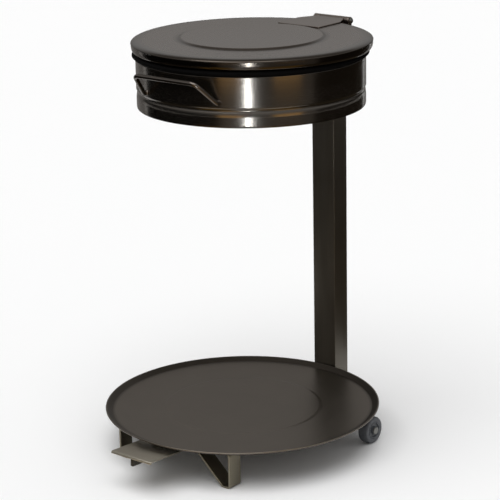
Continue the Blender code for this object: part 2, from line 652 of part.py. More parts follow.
def lid():
    """The lid shell, its hinge strap, the crank under the strap and the crank pin."""
    inner = LID_CIRCLE_RADIUS - CIRCLE_SLOPE / 2
    outer = LID_CIRCLE_RADIUS + CIRCLE_SLOPE / 2
    flat = LID_RADIUS - LID_SHOULDER_WIDTH
    upper = [(0.0, LID_CIRCLE_RISE), (inner, LID_CIRCLE_RISE), (outer, 0.0), (flat, 0.0)]
    shoulder = []
    shoulder_steps = 4
    for step in range(1, shoulder_steps + 1):
        angle = math.pi / 2 * step / shoulder_steps
        drop = LID_SHOULDER_DROP * (1 - math.cos(angle))
        shoulder.append((flat + LID_SHOULDER_WIDTH * math.sin(angle), -drop))
    skirt = (LID_RADIUS - SKIRT_TAPER, SKIRT_BOTTOM - LID_TOP)
    profile = upper + shoulder + [skirt]
    under = [(radius, height - LID_SHEET) for radius, height in upper]
    for step, (radius, height) in enumerate(shoulder, 1):
        share = step / len(shoulder)
        under.append((radius - LID_SHEET * share, height - LID_SHEET * (1 - share)))
    under += [(skirt[0] - LID_SHEET, skirt[1])]
    lift = LID_TOP - HINGE_Z
    raised = [(radius, height + lift) for radius, height in profile + under[::-1]]
    shell = turned("lid_shell", raised, (0.0, LID_Y - HINGE_Y, 0.0), SATIN_STEEL, LID_AXIS, steps=LARGE_STEPS)
    notch = block(
        "cut_lid_notch",
        (-NOTCH_WIDTH / 2, LID_Y + flat - HINGE_Y, -SKIRT_DROP * 2),
        (NOTCH_WIDTH / 2, LID_Y + LID_RADIUS + LID_SHOULDER_WIDTH - HINGE_Y, lift + LID_SHEET),
        holder=LID_AXIS,
    )
    cut(shell, notch)

    strap_low = lift + FIT_GAP
    strap_high = strap_low + STRAP_SHEET
    rear = -KNUCKLE_RADIUS - 3 * SIDE_PLAY
    front = STRAP_FRONT_Y - HINGE_Y
    narrow = LID_KNUCKLE_HALF + STRAP_STEP
    right = [(STRAP_HALF_WIDTH, front), (STRAP_HALF_WIDTH, rear - STRAP_TAPER), (narrow, rear)]
    left = [(-x, y) for x, y in reversed(right)]
    strap = prism("lid_hinge_strap", right + left, 2, strap_low, strap_high, SATIN_STEEL, LID_AXIS)
    start = 180 - math.degrees(math.asin(strap_low / KNUCKLE_RADIUS))
    end = 540 - math.degrees(math.asin(strap_high / KNUCKLE_RADIUS))
    eye = arc((0.0, 0.0), KNUCKLE_RADIUS, start, end, KNUCKLE_STEPS)
    tongue = [(2 * rear, strap_high), (2 * rear, strap_low), *eye]
    knuckle = prism("join_lid_knuckle", tongue, 0, -LID_KNUCKLE_HALF, LID_KNUCKLE_HALF, holder=LID_AXIS)
    join(strap, knuckle)
    bore = rod_profile(HINGE_PIN_RADIUS + FIT_GAP, -HINGE_HALF_WIDTH, HINGE_HALF_WIDTH)
    cut(strap, turned("cut_lid_knuckle", bore, (0.0, 0.0, 0.0), holder=LID_AXIS, axis="X"))

    pin_y = CRANK_PIN_Y - HINGE_Y
    pin_z = CRANK_PIN_Z - HINGE_Z
    root_front = pin_y - CRANK_ROOT / 2
    eye_arc = arc((pin_y, pin_z), CRANK_EYE, 180, 360, EYE_STEPS)
    outline = [(root_front + CRANK_ROOT, lift), (root_front, lift), *eye_arc]
    crank = prism("lid_crank", outline, 0, -CRANK_PLATE / 2, CRANK_PLATE / 2, SATIN_STEEL, LID_AXIS)
    hole = rod_profile(CRANK_PIN_RADIUS + FIT_GAP, -CRANK_PLATE, CRANK_PLATE)
    cut(crank, turned("cut_crank_pin", hole, (0.0, pin_y, pin_z), holder=LID_AXIS, axis="X"))
    reach = YOKE_SIZE / 2
    pin = rod_profile(CRANK_PIN_RADIUS, -reach, reach)
    turned("crank_pin", pin, (0.0, pin_y, pin_z), ZINC_STEEL, LID_AXIS, "X")


def lid_hinge():
    """The bracket on the column with its two knuckles, and the pin with its clip."""
    half = HINGE_HALF_WIDTH
    bracket = block(
        "hinge_bracket",
        (-half, COLUMN_FRONT, BRACKET_TOP - BRACKET_PLATE),
        (half, REAR_MOST, BRACKET_TOP),
        SATIN_STEEL,
    )
    stem = BRACKET_STEM / 2
    below = math.degrees(math.acos(stem / KNUCKLE_RADIUS))
    root = BRACKET_TOP - BRACKET_PLATE / 2
    outline = [(HINGE_Y - stem, root), (HINGE_Y + stem, root)]
    outline += arc((HINGE_Y, HINGE_Z), KNUCKLE_RADIUS, -below, 180 + below, KNUCKLE_STEPS)
    inner = LID_KNUCKLE_HALF + SIDE_PLAY
    for hand, side in (("left", -1), ("right", 1)):
        join(bracket, prism(f"join_knuckle_{hand}", outline, 0, *sorted((side * inner, side * half))))
    bore = rod_profile(HINGE_PIN_RADIUS + FIT_GAP, -2 * half, 2 * half)
    room = YOKE_SIZE / 2 + SIDE_PLAY
    opening = block(
        "cut_bracket_opening",
        (-room - SIDE_PLAY, ROD_Y - room, BRACKET_TOP - 2 * BRACKET_PLATE),
        (room + SIDE_PLAY, ROD_Y + room + SIDE_PLAY, BRACKET_TOP + BRACKET_PLATE),
    )
    cut(bracket, turned("cut_bracket_bore", bore, (0.0, HINGE_Y, HINGE_Z), axis="X"), opening)

    face = half + FIT_GAP
    tip = face + PIN_HEAD
    rounding = PIN_HEAD / 2
    pin = [(0.0, tip + rounding), (HINGE_PIN_RADIUS, tip + rounding), (HINGE_PIN_RADIUS, -face)]
    pin += [(PIN_HEAD_RADIUS, -face), (PIN_HEAD_RADIUS, -face - rounding)]
    pin += [(PIN_HEAD_RADIUS - rounding, -face - PIN_HEAD), (0.0, -face - PIN_HEAD)]
    turned("hinge_pin", pin, (0.0, HINGE_Y, HINGE_Z), ZINC_STEEL, axis="X")
    clip = tube_profile(PIN_HEAD_RADIUS, HINGE_PIN_RADIUS + FIT_GAP, face, tip)
    turned("hinge_pin_clip", clip, (0.0, HINGE_Y, HINGE_Z), ZINC_STEEL, axis="X", loop=True)


def push_rod():
    """The rod in the column, its forked yoke round the crank pin and its domed foot on the lever."""
    foot_low = PIVOT_HEIGHT - ROD_TRAVEL / 2 + LEVER_HALF / math.cos(LEVER_TILT) + FIT_GAP
    foot_high = foot_low + ROD_FOOT_HEIGHT
    slot_half = CRANK_PIN_RADIUS + SLOT_PLAY
    tine_low = CRANK_PIN_Z - slot_half - YOKE_SLOT_WALL
    tine_high = CRANK_PIN_Z + slot_half + YOKE_SLOT_WALL
    yoke_low = tine_low - YOKE_BLOCK
    rod_top = yoke_low + ROD_IN_YOKE
    rod = rod_profile(ROD_RADIUS, foot_high - ROD_FOOT_DOME, rod_top)
    turned("push_rod", rod, (0.0, 0.0, 0.0), ZINC_STEEL, ROD_AXIS)

    half = YOKE_SIZE / 2
    yoke = block("rod_yoke", (-half, -half, yoke_low), (half, half, tine_high), ZINC_STEEL, ROD_AXIS)
    fork = half - YOKE_TINE
    throat_high = tine_high + YOKE_SIZE
    throat = block(
        "cut_yoke_throat", (-fork, -YOKE_SIZE, tine_low), (fork, YOKE_SIZE, throat_high), holder=ROD_AXIS
    )
    pin_sweep = CRANK_RADIUS * (1 - math.cos(HALF_OPEN)) / 2
    slot_reach = pin_sweep + slot_half
    slot = block(
        "cut_yoke_slot",
        (-YOKE_SIZE, -slot_reach, CRANK_PIN_Z - slot_half),
        (YOKE_SIZE, slot_reach, CRANK_PIN_Z + slot_half),
        holder=ROD_AXIS,
    )
    socket = rod_profile(ROD_RADIUS + FIT_GAP, yoke_low - YOKE_BLOCK, rod_top + FIT_GAP)
    cut(yoke, throat, slot, turned("cut_yoke_socket", socket, (0.0, 0.0, 0.0), holder=ROD_AXIS))

    foot = [(0.0, foot_high), (ROD_FOOT_RADIUS, foot_high)]
    dome_steps = 4
    for step in range(dome_steps + 1):
        swept = math.pi / 2 * step / dome_steps
        sunk = ROD_FOOT_DOME * (1 - math.sin(swept))
        foot.append((ROD_FOOT_RADIUS * math.cos(swept), foot_low + sunk))
    foot[-1] = (0.0, foot_low)
    pad = turned("rod_foot", foot, (0.0, 0.0, 0.0), BLACK_PLASTIC, ROD_AXIS)
    seat = rod_profile(ROD_RADIUS + FIT_GAP, foot_high - ROD_FOOT_DOME - FIT_GAP, foot_high + ROD_FOOT_DOME)
    cut(pad, turned("cut_rod_foot", seat, (0.0, 0.0, 0.0), holder=ROD_AXIS))


def pedal():
    """The lever on its pin, the pedal plate on its end, and the pin with spacers and clip."""
    end = REAR_ARM / math.cos(LEVER_TILT) + LEVER_PAST_ROD
    front = -PEDAL_FRONT + PEDAL_SHEET + FIT_GAP
    half = LEVER_THICKNESS / 2
    low_corner = (-half, front, -LEVER_HALF)
    high_corner = (half, end, LEVER_HALF)
    lever = block("pedal_lever", low_corner, high_corner, SATIN_STEEL, PEDAL_AXIS)
    bore = rod_profile(PIVOT_PIN_RADIUS + FIT_GAP, -LEVER_HEIGHT, LEVER_HEIGHT)
    cut(lever, turned("cut_lever_pin", bore, (0.0, 0.0, 0.0), holder=PEDAL_AXIS, axis="X"))
    low = LEVER_HALF + FIT_GAP
    high = low + PEDAL_SHEET
    bent = [
        (-PEDAL_FRONT, high),
        (-PEDAL_FRONT, high - PEDAL_LIP),
        (-PEDAL_FRONT + PEDAL_SHEET, high - PEDAL_LIP),
        (-PEDAL_FRONT + PEDAL_SHEET, low),
        (-PEDAL_FRONT + PEDAL_DEPTH, low),
        (-PEDAL_FRONT + PEDAL_DEPTH, high),
    ]
    prism("pedal_plate", bent, 0, -PEDAL_WIDTH / 2, PEDAL_WIDTH / 2, SATIN_STEEL, PEDAL_AXIS)

    place = (0.0, PIVOT_Y, PIVOT_HEIGHT)
    face = RAIL_WIDTH / 2 + FIT_GAP
    tip = face + PIN_HEAD
    head = PIVOT_PIN_RADIUS + PIN_HEAD
    pin = [(0.0, tip + PIN_HEAD / 2), (PIVOT_PIN_RADIUS, tip + PIN_HEAD / 2), (PIVOT_PIN_RADIUS, -face)]
    pin += [(head, -face), (head, -face - PIN_HEAD), (0.0, -face - PIN_HEAD)]
    turned("pedal_pivot_pin", pin, place, ZINC_STEEL, axis="X")
    clip = tube_profile(head, PIVOT_PIN_RADIUS + FIT_GAP, face, tip)
    turned("pedal_pivot_clip", clip, place, ZINC_STEEL, axis="X", loop=True)
    inner = half + SIDE_PLAY
    outer = RAIL_WIDTH / 2 - RAIL_WALL - FIT_GAP
    for hand, span in (("left", (-outer, -inner)), ("right", (inner, outer))):
        spacer = tube_profile(SPACER_RADIUS, PIVOT_PIN_RADIUS + FIT_GAP, *span)
        turned(f"pivot_spacer_{hand}", spacer, place, BLACK_PLASTIC, axis="X", loop=True)


foot_tray()
front_feet()
wheels()
column()
bag_ring()
ring_saddle()
handle()
lid()
lid_hinge()
push_rod()
pedal()
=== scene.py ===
import math

import bmesh
import bpy
import numpy as np
from mathutils import Matrix, Vector


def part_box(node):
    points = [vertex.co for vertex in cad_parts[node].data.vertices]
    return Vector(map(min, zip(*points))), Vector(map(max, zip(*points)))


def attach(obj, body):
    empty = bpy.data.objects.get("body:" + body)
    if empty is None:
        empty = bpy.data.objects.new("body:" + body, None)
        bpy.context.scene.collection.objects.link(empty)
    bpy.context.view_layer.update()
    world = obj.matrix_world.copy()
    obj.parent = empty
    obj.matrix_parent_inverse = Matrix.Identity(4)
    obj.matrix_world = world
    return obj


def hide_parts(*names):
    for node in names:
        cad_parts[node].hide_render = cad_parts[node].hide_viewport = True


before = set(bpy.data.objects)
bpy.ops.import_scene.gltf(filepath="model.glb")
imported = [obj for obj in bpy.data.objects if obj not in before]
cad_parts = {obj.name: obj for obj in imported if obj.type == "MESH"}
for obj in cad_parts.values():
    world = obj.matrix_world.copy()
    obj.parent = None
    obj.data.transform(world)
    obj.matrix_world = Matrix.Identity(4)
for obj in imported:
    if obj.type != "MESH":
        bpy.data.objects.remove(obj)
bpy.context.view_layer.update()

# Places that the solids give
tray_low, tray_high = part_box("base_plate")
column_low, column_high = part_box("column")
rail_low, rail_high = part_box("base_rail")
foot_low, foot_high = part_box("front_foot_right")
tyre_low, tyre_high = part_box("wheel_right_tyre")
hub_low, hub_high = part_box("wheel_right_hub")
hanger_low, hanger_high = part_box("wheel_right_hanger")
axle_low, axle_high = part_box("wheel_right_axle")
nut_low, nut_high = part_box("wheel_right_nut")
ring_low, ring_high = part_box("bag_ring")
band_low, band_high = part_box("bag_clamp_band")
saddle_low, saddle_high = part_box("ring_saddle")
lid_low, lid_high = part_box("lid_shell")
strap_low, strap_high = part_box("lid_hinge_strap")
bracket_low, bracket_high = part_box("hinge_bracket")
hinge_low, hinge_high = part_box("hinge_pin")
pivot_low, pivot_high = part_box("pedal_pivot_pin")
rod_low, rod_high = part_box("push_rod")

# Gaps and edges that several pieces share, in metres, as all sizes here
FREE_FIT = 0.0003
SIDE_PLAY = 0.0005
CUT_EDGE = 0.0002
CUT_REACH = 0.01
SAWN_EDGE = 0.0004
STRIP_EDGE = 0.0008
PLATE_EDGE = 0.0006
HEAD_CROWN = 0.0004

# Foot tray
TRAY_Y = (tray_low.y + tray_high.y) / 2
TRAY_RADIUS = tray_high.x
TRAY_SHEET = 0.0015
TRAY_TOP = tray_low.z + TRAY_SHEET
TRAY_CIRCLE = 0.143
TRAY_CIRCLE_RISE = 0.0007
CIRCLE_SLOPE = 0.005
LIP_WIDTH = 0.0125
LIP_FOOT = TRAY_RADIUS - LIP_WIDTH
HEM = 0.0025
TRAY_UPPER_BENDS = [0.010, 0.010, 0.005]
HEM_BENDS = [0.001, 0.0011, 0.001]
TRAY_LOWER_BENDS = [0.004, 0.005, 0.005]

# Column and rail
COLUMN_CORNER = 0.0008
COLUMN_BORE_CORNER = 0.0005
COLUMN_WALL = 0.002
SLOT_PLAY = 0.002
SLOT_BELOW = 0.0252
SLOT_ABOVE = 0.0242
SLOT_CORNER = 0.001
RAIL_WALL = 0.002
RAIL_BEND = 0.003
RAIL_EDGE = 0.0003

# Front feet
FOOT_STRIP = 0.004
FOOT_BEND = 0.005
FOOT_SOLE = 0.016
FOOT_REACH = 0.082
FOOT_OUTER_FLANGE = 0.028
FOOT_INNER_FLANGE = 0.022

# Wheels
WHEEL_Y = (tyre_low.y + tyre_high.y) / 2
WHEEL_RADIUS = tyre_high.z / 2
WHEEL_X = (tyre_low.x + tyre_high.x) / 2
TREAD_DROP = 0.001
TREAD_SHOULDER = 0.006
TYRE_BENDS = [0.0004, 0.0030, 0.006]
HUB_RADIUS = 0.0155
HUB_BOSS = 0.0072
HUB_BOSS_DRAFT = 0.0006
HUB_WEB_DEPTH = 0.0035
HUB_RIM = 0.0025
HUB_RIM_DRAFT = 0.0004
HUB_RIM_DEPTH = 0.0008
HUB_BENDS = [0.0006, 0.0008, 0.0008, 0.0003, 0.0005]
AXLE_RADIUS = 0.004
AXLE_HEAD_RADIUS = 0.007
AXLE_HEAD = 0.003
AXLE_BENDS = [0.0016, 0.0002, 0.0002, 0.0006]
HANGER_WALL = 0.0025
HANGER_BEND = 0.003
HANGER_EYE = 0.010
HANGER_EYE_FLAT = 0.0006
HANGER_EYE_POINTS = 14
NUT_RADIUS = 0.0075

# Bag ring, clamp band and handle
RING_Y = (ring_low.y + ring_high.y) / 2
RING_RADIUS = ring_high.x
RING_SHEET = 0.0012
BAND_LIFT = 0.0035
BAND_LOW = band_low.z + BAND_LIFT
BAND_BEVEL_WIDTH = 0.0035
BAND_BEVEL_HEIGHT = 0.004
BAND_BENDS = [0.0005, 0.0015, 0.003]
NECK_STEP = 0.004
NECK_RADIUS = RING_RADIUS - NECK_STEP
NECK_BENDS = [0.0008, 0.0020]
RING_SHOULDER = BAND_LOW - FREE_FIT
GROOVE_LEAD = 0.001
GROOVE_TOP = 0.659
GROOVE_BOTTOM = 0.650
GROOVE_DEPTH = 0.0018
GROOVE_POINTS = 17
LOWER_WALL_STEP = 0.0002
LOWER_WALL_RADIUS = RING_RADIUS - LOWER_WALL_STEP
LOWER_WALL_BENDS = [0.012, 0.008]
FLANK_RISE = 0.0008
FLANK_DROP = 0.0075
LOWER_EDGE_LIFT = 0.0005
LOWER_EDGE_CURL = 0.0005
LOWER_EDGE_DROP = 0.003
HANDLE_BAR = 0.004
HANDLE_FOOT_X = 0.080
HANDLE_FOOT_Z = 0.667
HANDLE_FOOT_OUT = 0.006
HANDLE_CORNER_X = 0.067
HANDLE_CORNER_OUT = 0.0275
HANDLE_CORNER_Z = 0.7055
HANDLE_KNEE_BEND = 0.006
HANDLE_BEND = 0.014
WELD_SINK = 0.0004
WELD_BEAD = 0.0016
WELD_FADE = 0.0012
WELD_POINTS = 10
BOLT_RADIUS = 0.003
BOLT_SPREAD = 0.0115
BOLT_HEAD_RADIUS = 0.0052
BOLT_HEAD = 0.003
BOLT_BENDS = [0.0016, 0.0002, 0.0002, 0.0004]

# Lid
LID_RADIUS = lid_high.x
LID_Y = lid_low.y + LID_RADIUS
LID_SHEET = 0.0012
LID_TOP = 0.7425
LID_CIRCLE = 0.127
LID_CROWN = lid_high.z
LID_STEP = 0.005
LID_STEP_BENDS = [0.0025, 0.0025]
LID_SHOULDER = 0.013
LID_SHOULDER_DROP = 0.005
LID_SHOULDER_POINTS = 13
LID_CREASE = 0.0006
LID_RIM_TAPER = 0.0045
LID_RIM_POINTS = 15
NOTCH_WIDTH = 0.026
NOTCH_DEPTH = 0.013
NOTCH_CORNER = 0.002

# Hinge
HINGE_Y = (hinge_low.y + hinge_high.y) / 2
HINGE_Z = (hinge_low.z + hinge_high.z) / 2
KNUCKLE_RADIUS = 0.007
HINGE_PIN_RADIUS = 0.003
PIN_HEAD_RADIUS = 0.005
PIN_HEAD = 0.0025
PIN_CROWN = 0.0003
PIN_BENDS = [0.0012, 0.0002, 0.0002, 0.0006]
LID_KNUCKLE_HALF = 0.028
STRAP_TAPER = 0.032
STRAP_STEP = 0.002
STRAP_SHEET = 0.002
STRAP_LOW = LID_TOP + FREE_FIT
STRAP_HIGH = STRAP_LOW + STRAP_SHEET
STRAP_BACK = 0.0085
STRAP_REAR = HINGE_Y - STRAP_BACK
STRAP_BENDS = [0.003, 0.006, 0.002]
STRAP_TONGUE = 0.006
BRACKET_PLATE = 0.003
BRACKET_CORNER = 0.003
BRACKET_EDGE = 0.0005
BRACKET_STEM = 0.008
ROD_Y = (rod_low.y + rod_high.y) / 2
ROD_OPENING = 0.0085
ROD_OPENING_CORNER = 0.0015

# Pedal and lever
PIVOT_Y = (pivot_low.y + pivot_high.y) / 2
PIVOT_Z = (pivot_low.z + pivot_high.z) / 2
PIVOT_PIN_RADIUS = 0.004
LEVER_TILT = math.radians(3.3156)
LEVER_HALF = 0.008
LEVER_THICKNESS = 0.006
LEVER_FRONT = -0.3032
LEVER_END = 0.271
LEVER_POINTS = 5
PEDAL_SHEET = 0.0025
PEDAL_BEND = 0.0022
PEDAL_HALF_WIDTH = 0.046
PEDAL_FRONT = -0.306
PEDAL_DEPTH = 0.086
PEDAL_LIP = 0.005
PEDAL_TOP = 0.0108

# Points round a turned piece
RING_AROUND = 192
TRAY_AROUND = 160
TYRE_AROUND = 72
HUB_AROUND = 48
AXLE_AROUND = 40
PIN_AROUND = 32

# The photograph's camera: angles in degrees, distances in metres, focal length in pixels of its frame
CAMERA_AZIMUTH = 39.182
CAMERA_ELEVATION = 16.382
CAMERA_DISTANCE = 3.54333
CAMERA_ROLL = -1.1025
CAMERA_ASIDE = 0.019164
CAMERA_AIM = 0.363484
CAMERA_SIGHT = 200.0
FOCAL_PIXELS = 1978.379
FRAME_PIXELS = 500
SENSOR = 36.0

HANDS = (("left", -1.0), ("right", 1.0))
X_AXIS = (1.0, 0.0, 0.0)
Y_AXIS = (0.0, 1.0, 0.0)
Z_AXIS = (0.0, 0.0, 1.0)
SHARP_EDGE = math.radians(38)
MERGE = 1e-7
MILLIMETRES = 1000


# Shapes as grids of points


def unit(vectors):
    """Vectors brought to a length of one."""
    return vectors / np.linalg.norm(vectors, axis=-1, keepdims=True)


def rounded(points, radii, steps=8):
    """A polyline with arcs at its inner corners: an arc starts the radius times the tangent of half the
    turn before the corner, and goes round its centre through the turn in equal steps."""
    points = np.asarray(points, float)
    parts = [points[:1]]
    for before, corner, after, radius in zip(points, points[1:], points[2:], radii):
        arriving = unit(corner - before)
        leaving = unit(after - corner)
        turn = math.acos(np.clip(arriving @ leaving, -1, 1))
        inward = unit(leaving - arriving * (arriving @ leaving))
        centre = corner - arriving * radius * math.tan(turn / 2) + inward * radius
        swept = np.linspace(0, turn, steps + 1)[:, None]
        parts.append(centre - inward * radius * np.cos(swept) + arriving * radius * np.sin(swept))
    parts.append(points[-1:])
    return np.concatenate(parts)


def thickened(profile, thickness):
    """A sheet's closed profile: the outer line, then back along the same line moved inwards along its
    normals, where a normal is the mean direction of the two neighbouring edges turned by a quarter."""
    profile = np.asarray(profile, float)
    run = unit(np.diff(profile, axis=0))
    mean = unit(np.concatenate([run[:1], run[:-1] + run[1:], run[-1:]]))
    inward = np.stack([mean[:, 1], -mean[:, 0]], axis=1)
    return np.concatenate([profile, (profile + inward * thickness)[::-1]])


def headed_pin(head, seat, tip, head_radius, radius, crown, bends, steps):
    """Profile of a pin from its head to its tip, as radii and places along its axis: the head rises from
    its rim to its middle by a crown, and every corner is rounded."""
    rim = head + math.copysign(crown, tip - head)
    top = [(0.0, head), (head_radius, rim), (head_radius, seat)]
    shank = [(radius, seat), (radius, tip), (0.0, tip)]
    return rounded(top + shank, bends, steps)


def turned(profile, centre, axis=2, steps=PIN_AROUND):
    """Grid of a profile of radii and heights turned about an axis: a row is the circle of one radius."""
    radius, height = np.asarray(profile, float).T
    swept = np.linspace(0, 2 * np.pi, steps, endpoint=False)
    first = np.outer(radius, np.cos(swept))
    second = np.outer(radius, np.sin(swept))
    along = np.repeat(height[:, None], steps, axis=1)
    grid = np.roll(np.stack([first, second, along], axis=-1), axis + 1, axis=-1)
    return grid + np.asarray(centre, float)


def slab(outline, axis, low, high, rounding, steps=4):
    """Grid of a flat outline pushed along an axis from low to high: the first and last rings draw in
    along the outline's corner normals by a quarter circle, which rounds the edges."""
    outline = np.asarray(outline, float)
    forward = unit(np.roll(outline, -1, axis=0) - outline)
    normal = np.stack([forward[:, 1], -forward[:, 0]], axis=1)
    before = np.roll(normal, 1, axis=0)
    corner = (normal + before) / (1 + np.sum(normal * before, axis=1, keepdims=True))
    quarter = np.linspace(0, np.pi / 2, steps + 1)
    drawn = rounding * (1 - np.sin(quarter))
    rise = rounding * (1 - np.cos(quarter))
    height = np.concatenate([low + rise, high - rise[::-1]])
    inset = np.concatenate([drawn, drawn[::-1]])
    flat = outline[None] - corner[None] * inset[:, None, None]
    level = np.broadcast_to(height[:, None], flat.shape[:2])
    return np.insert(flat, axis, level, axis=2)


def strip(path, across, width, thickness, rounding, steps=4):
    """Grid of a flat bar along a path: a ring is a rectangle with quarter round corners, its width along
    one fixed direction and its thickness along the path's normal, and the end rings draw in by a quarter
    circle."""
    path = np.asarray(path, float)
    across = np.asarray(across, float)
    run = unit(np.gradient(path, axis=0))
    half = np.broadcast_to(np.asarray(width, float) / 2, len(path))
    quarter = np.linspace(0, np.pi / 2, steps + 1)
    drawn = rounding * (1 - np.sin(quarter))
    back = rounding * (1 - np.cos(quarter))[:, None]
    place = np.concatenate([path[0] + run[0] * back, path[1:-1], path[-1] - run[-1] * back[::-1]])
    inset = np.concatenate([drawn, np.zeros(len(path) - 2), drawn[::-1]])
    ends = np.repeat([0, len(path) - 1], steps + 1)
    order = np.concatenate([ends[: steps + 1], np.arange(1, len(path) - 1), ends[steps + 1 :]])
    normal = np.cross(across, run[order])
    corner = np.repeat(np.arange(4), steps + 1) * np.pi / 2
    swept = corner + np.tile(quarter, 4)
    reach_side = np.sign(np.cos(corner + np.pi / 4))
    reach_over = np.sign(np.sin(corner + np.pi / 4))
    corner_radius = (rounding - inset)[:, None]
    wide = (half[order] - rounding)[:, None]
    deep = thickness / 2 - rounding
    side = reach_side * wide + corner_radius * np.cos(swept)
    over = reach_over * deep + corner_radius * np.sin(swept)
    return place[:, None] + across * side[..., None] + normal[:, None] * over[..., None]


def round_bar(path, radius, steps=24):
    """Grid of a round bar along a path: a ring is a circle square to the path, set off from the upward
    direction."""
    path = np.asarray(path, float)
    run = unit(np.gradient(path, axis=0))
    side = unit(np.cross(run, Z_AXIS))
    over = np.cross(side, run)
    radius = np.broadcast_to(np.asarray(radius, float), len(path))[:, None, None]
    swept = np.linspace(0, 2 * np.pi, steps, endpoint=False)
    around = np.cos(swept)[:, None] * side[:, None] + np.sin(swept)[:, None] * over[:, None]
    return path[:, None] + radius * around


def rectangle(low, high, corner, steps=6):
    """A closed rectangle between two corners, its four corners rounded to arcs."""
    middle = ((low[0] + high[0]) / 2, low[1])
    square = [(high[0], low[1]), (high[0], high[1]), (low[0], high[1]), (low[0], low[1])]
    return rounded([middle, *square, middle], [corner] * 4, steps)[:-1]


def arc(centre, radius, start, end, steps):
    """Points on a circle from one angle to another, in degrees."""
    swept = np.radians(np.linspace(start, end, steps + 1))
    return np.asarray(centre) + radius * np.stack([np.cos(swept), np.sin(swept)], axis=1)


def placed(name, data):
    """An object of the scene that shows a mesh, a lamp or a camera."""
    made = bpy.data.objects.new(name, data)
    bpy.context.scene.collection.objects.link(made)
    return made


def solid(name, *grids, looped=False):
    """A closed mesh of one or more grids: columns join into rings, rows join ring to ring, and the two
    end rings are filled flat, or joined to each other where the rows are a loop."""
    points = []
    faces = []
    start = 0
    for grid in grids:
        rows, columns = grid.shape[:2]
        bands = np.arange(rows if looped else rows - 1)
        row, column = np.meshgrid(bands, np.arange(columns), indexing="ij")
        here = row * columns
        over = (row + 1) % rows * columns
        beside = (column + 1) % columns
        quads = np.stack([here + column, here + beside, over + beside, over + column], axis=-1)
        faces += (start + quads.reshape(-1, 4)).tolist()
        if not looped:
            faces.append(list(range(start + columns - 1, start - 1, -1)))
            faces.append(list(range(start + (rows - 1) * columns, start + rows * columns)))
        points.append(grid.reshape(-1, 3))
        start += rows * columns
    mesh = bpy.data.meshes.new(name)
    mesh.from_pydata(np.concatenate(points).tolist(), [], faces)
    shape = bmesh.new()
    shape.from_mesh(mesh)
    bmesh.ops.remove_doubles(shape, verts=shape.verts, dist=MERGE)
    bmesh.ops.recalc_face_normals(shape, faces=shape.faces)
    shape.to_mesh(mesh)
    shape.free()
    return placed(name, mesh)


def combine(piece, tool, operation):
    """Joins a tool to a piece or cuts it out of the piece, and keeps the result as the piece's own mesh."""
    change = piece.modifiers.new("shape", "BOOLEAN")
    change.object = tool
    change.operation = operation
    change.solver = "EXACT"
    bpy.context.view_layer.update()
    shaped = piece.evaluated_get(bpy.context.evaluated_depsgraph_get())
    mesh = bpy.data.meshes.new_from_object(shaped)
    piece.modifiers.clear()
    piece.data = mesh
    bpy.data.objects.remove(tool)


def fit(piece, finish, slot, body, *nodes):
    """Gives a piece its finish and smooth shading, and puts it on its body in place of the solids that it
    stands for."""
    piece.data.materials.clear()
    piece.data.materials.append(finish)
    piece.data.shade_smooth()
    piece.data.set_sharp_from_angle(angle=SHARP_EDGE)
    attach(piece, body)
    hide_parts(*nodes)


# Finishes

# Places of a Mix node's sockets, several of which share a name
NUMBER_A = 2
NUMBER_B = 3
COLOUR_A = 6
COLOUR_B = 7
COLOUR_OUT = 2

# Patterns: the size of a cloud is in millimetres, and the heights of relief are in metres
CLOUD_SIZE = 60.0
CLOUD_SHARE = 0.5
CLOUD_NOISE = {"Scale": MILLIMETRES / CLOUD_SIZE, "Detail": 3.0, "Roughness": 0.5}
STREAK_NOISE = {"Scale": 1.0, "Detail": 4.0, "Roughness": 0.6}
STREAK_HEIGHT = 0.0002
SPECK_NOISE = {"Detail": 3.0, "Roughness": 0.6}
SPECK_HEIGHT = 0.0003
SPECK_GRAIN = 0.08
QUARTER_TURN = 0.25
LATHE_RADIUS = 0.2


def linear(colour):
    """A hex sRGB colour in linear light: shares above 0.04045 follow a 2.4 power, and smaller ones a
    straight line."""
    shares = np.array([int(colour[start : start + 2], 16) for start in (1, 3, 5)]) / 255
    bent = np.where(shares > 0.04045, ((shares + 0.055) / 1.055) ** 2.4, shares / 12.92)
    return (*bent.tolist(), 1.0)


def put(tree, kind, settings=None, inputs=None):
    """Adds a node: settings are its own values, and inputs are sockets to link or constants, by socket
    name or place."""
    made = tree.nodes.new(kind)
    for name, value in (settings or {}).items():
        setattr(made, name, value)
    for name, value in (inputs or {}).items():
        if isinstance(value, bpy.types.NodeSocket):
            tree.links.new(value, made.inputs[name])
        else:
            made.inputs[name].default_value = value
    return made


def empty_finish(name):
    """A material with nothing in it but its output."""
    material = bpy.data.materials.new(name)
    material.use_nodes = True
    material.node_tree.nodes.clear()
    return material, material.node_tree


def zone(tone, roughness, edge, *reach):
    """A ring of a turned piece with a tone and roughness of its own: reach says how far from an edge's
    radius it begins, is full, begins to end and has ended."""
    return (tone, roughness, *(edge + distance for distance in reach))


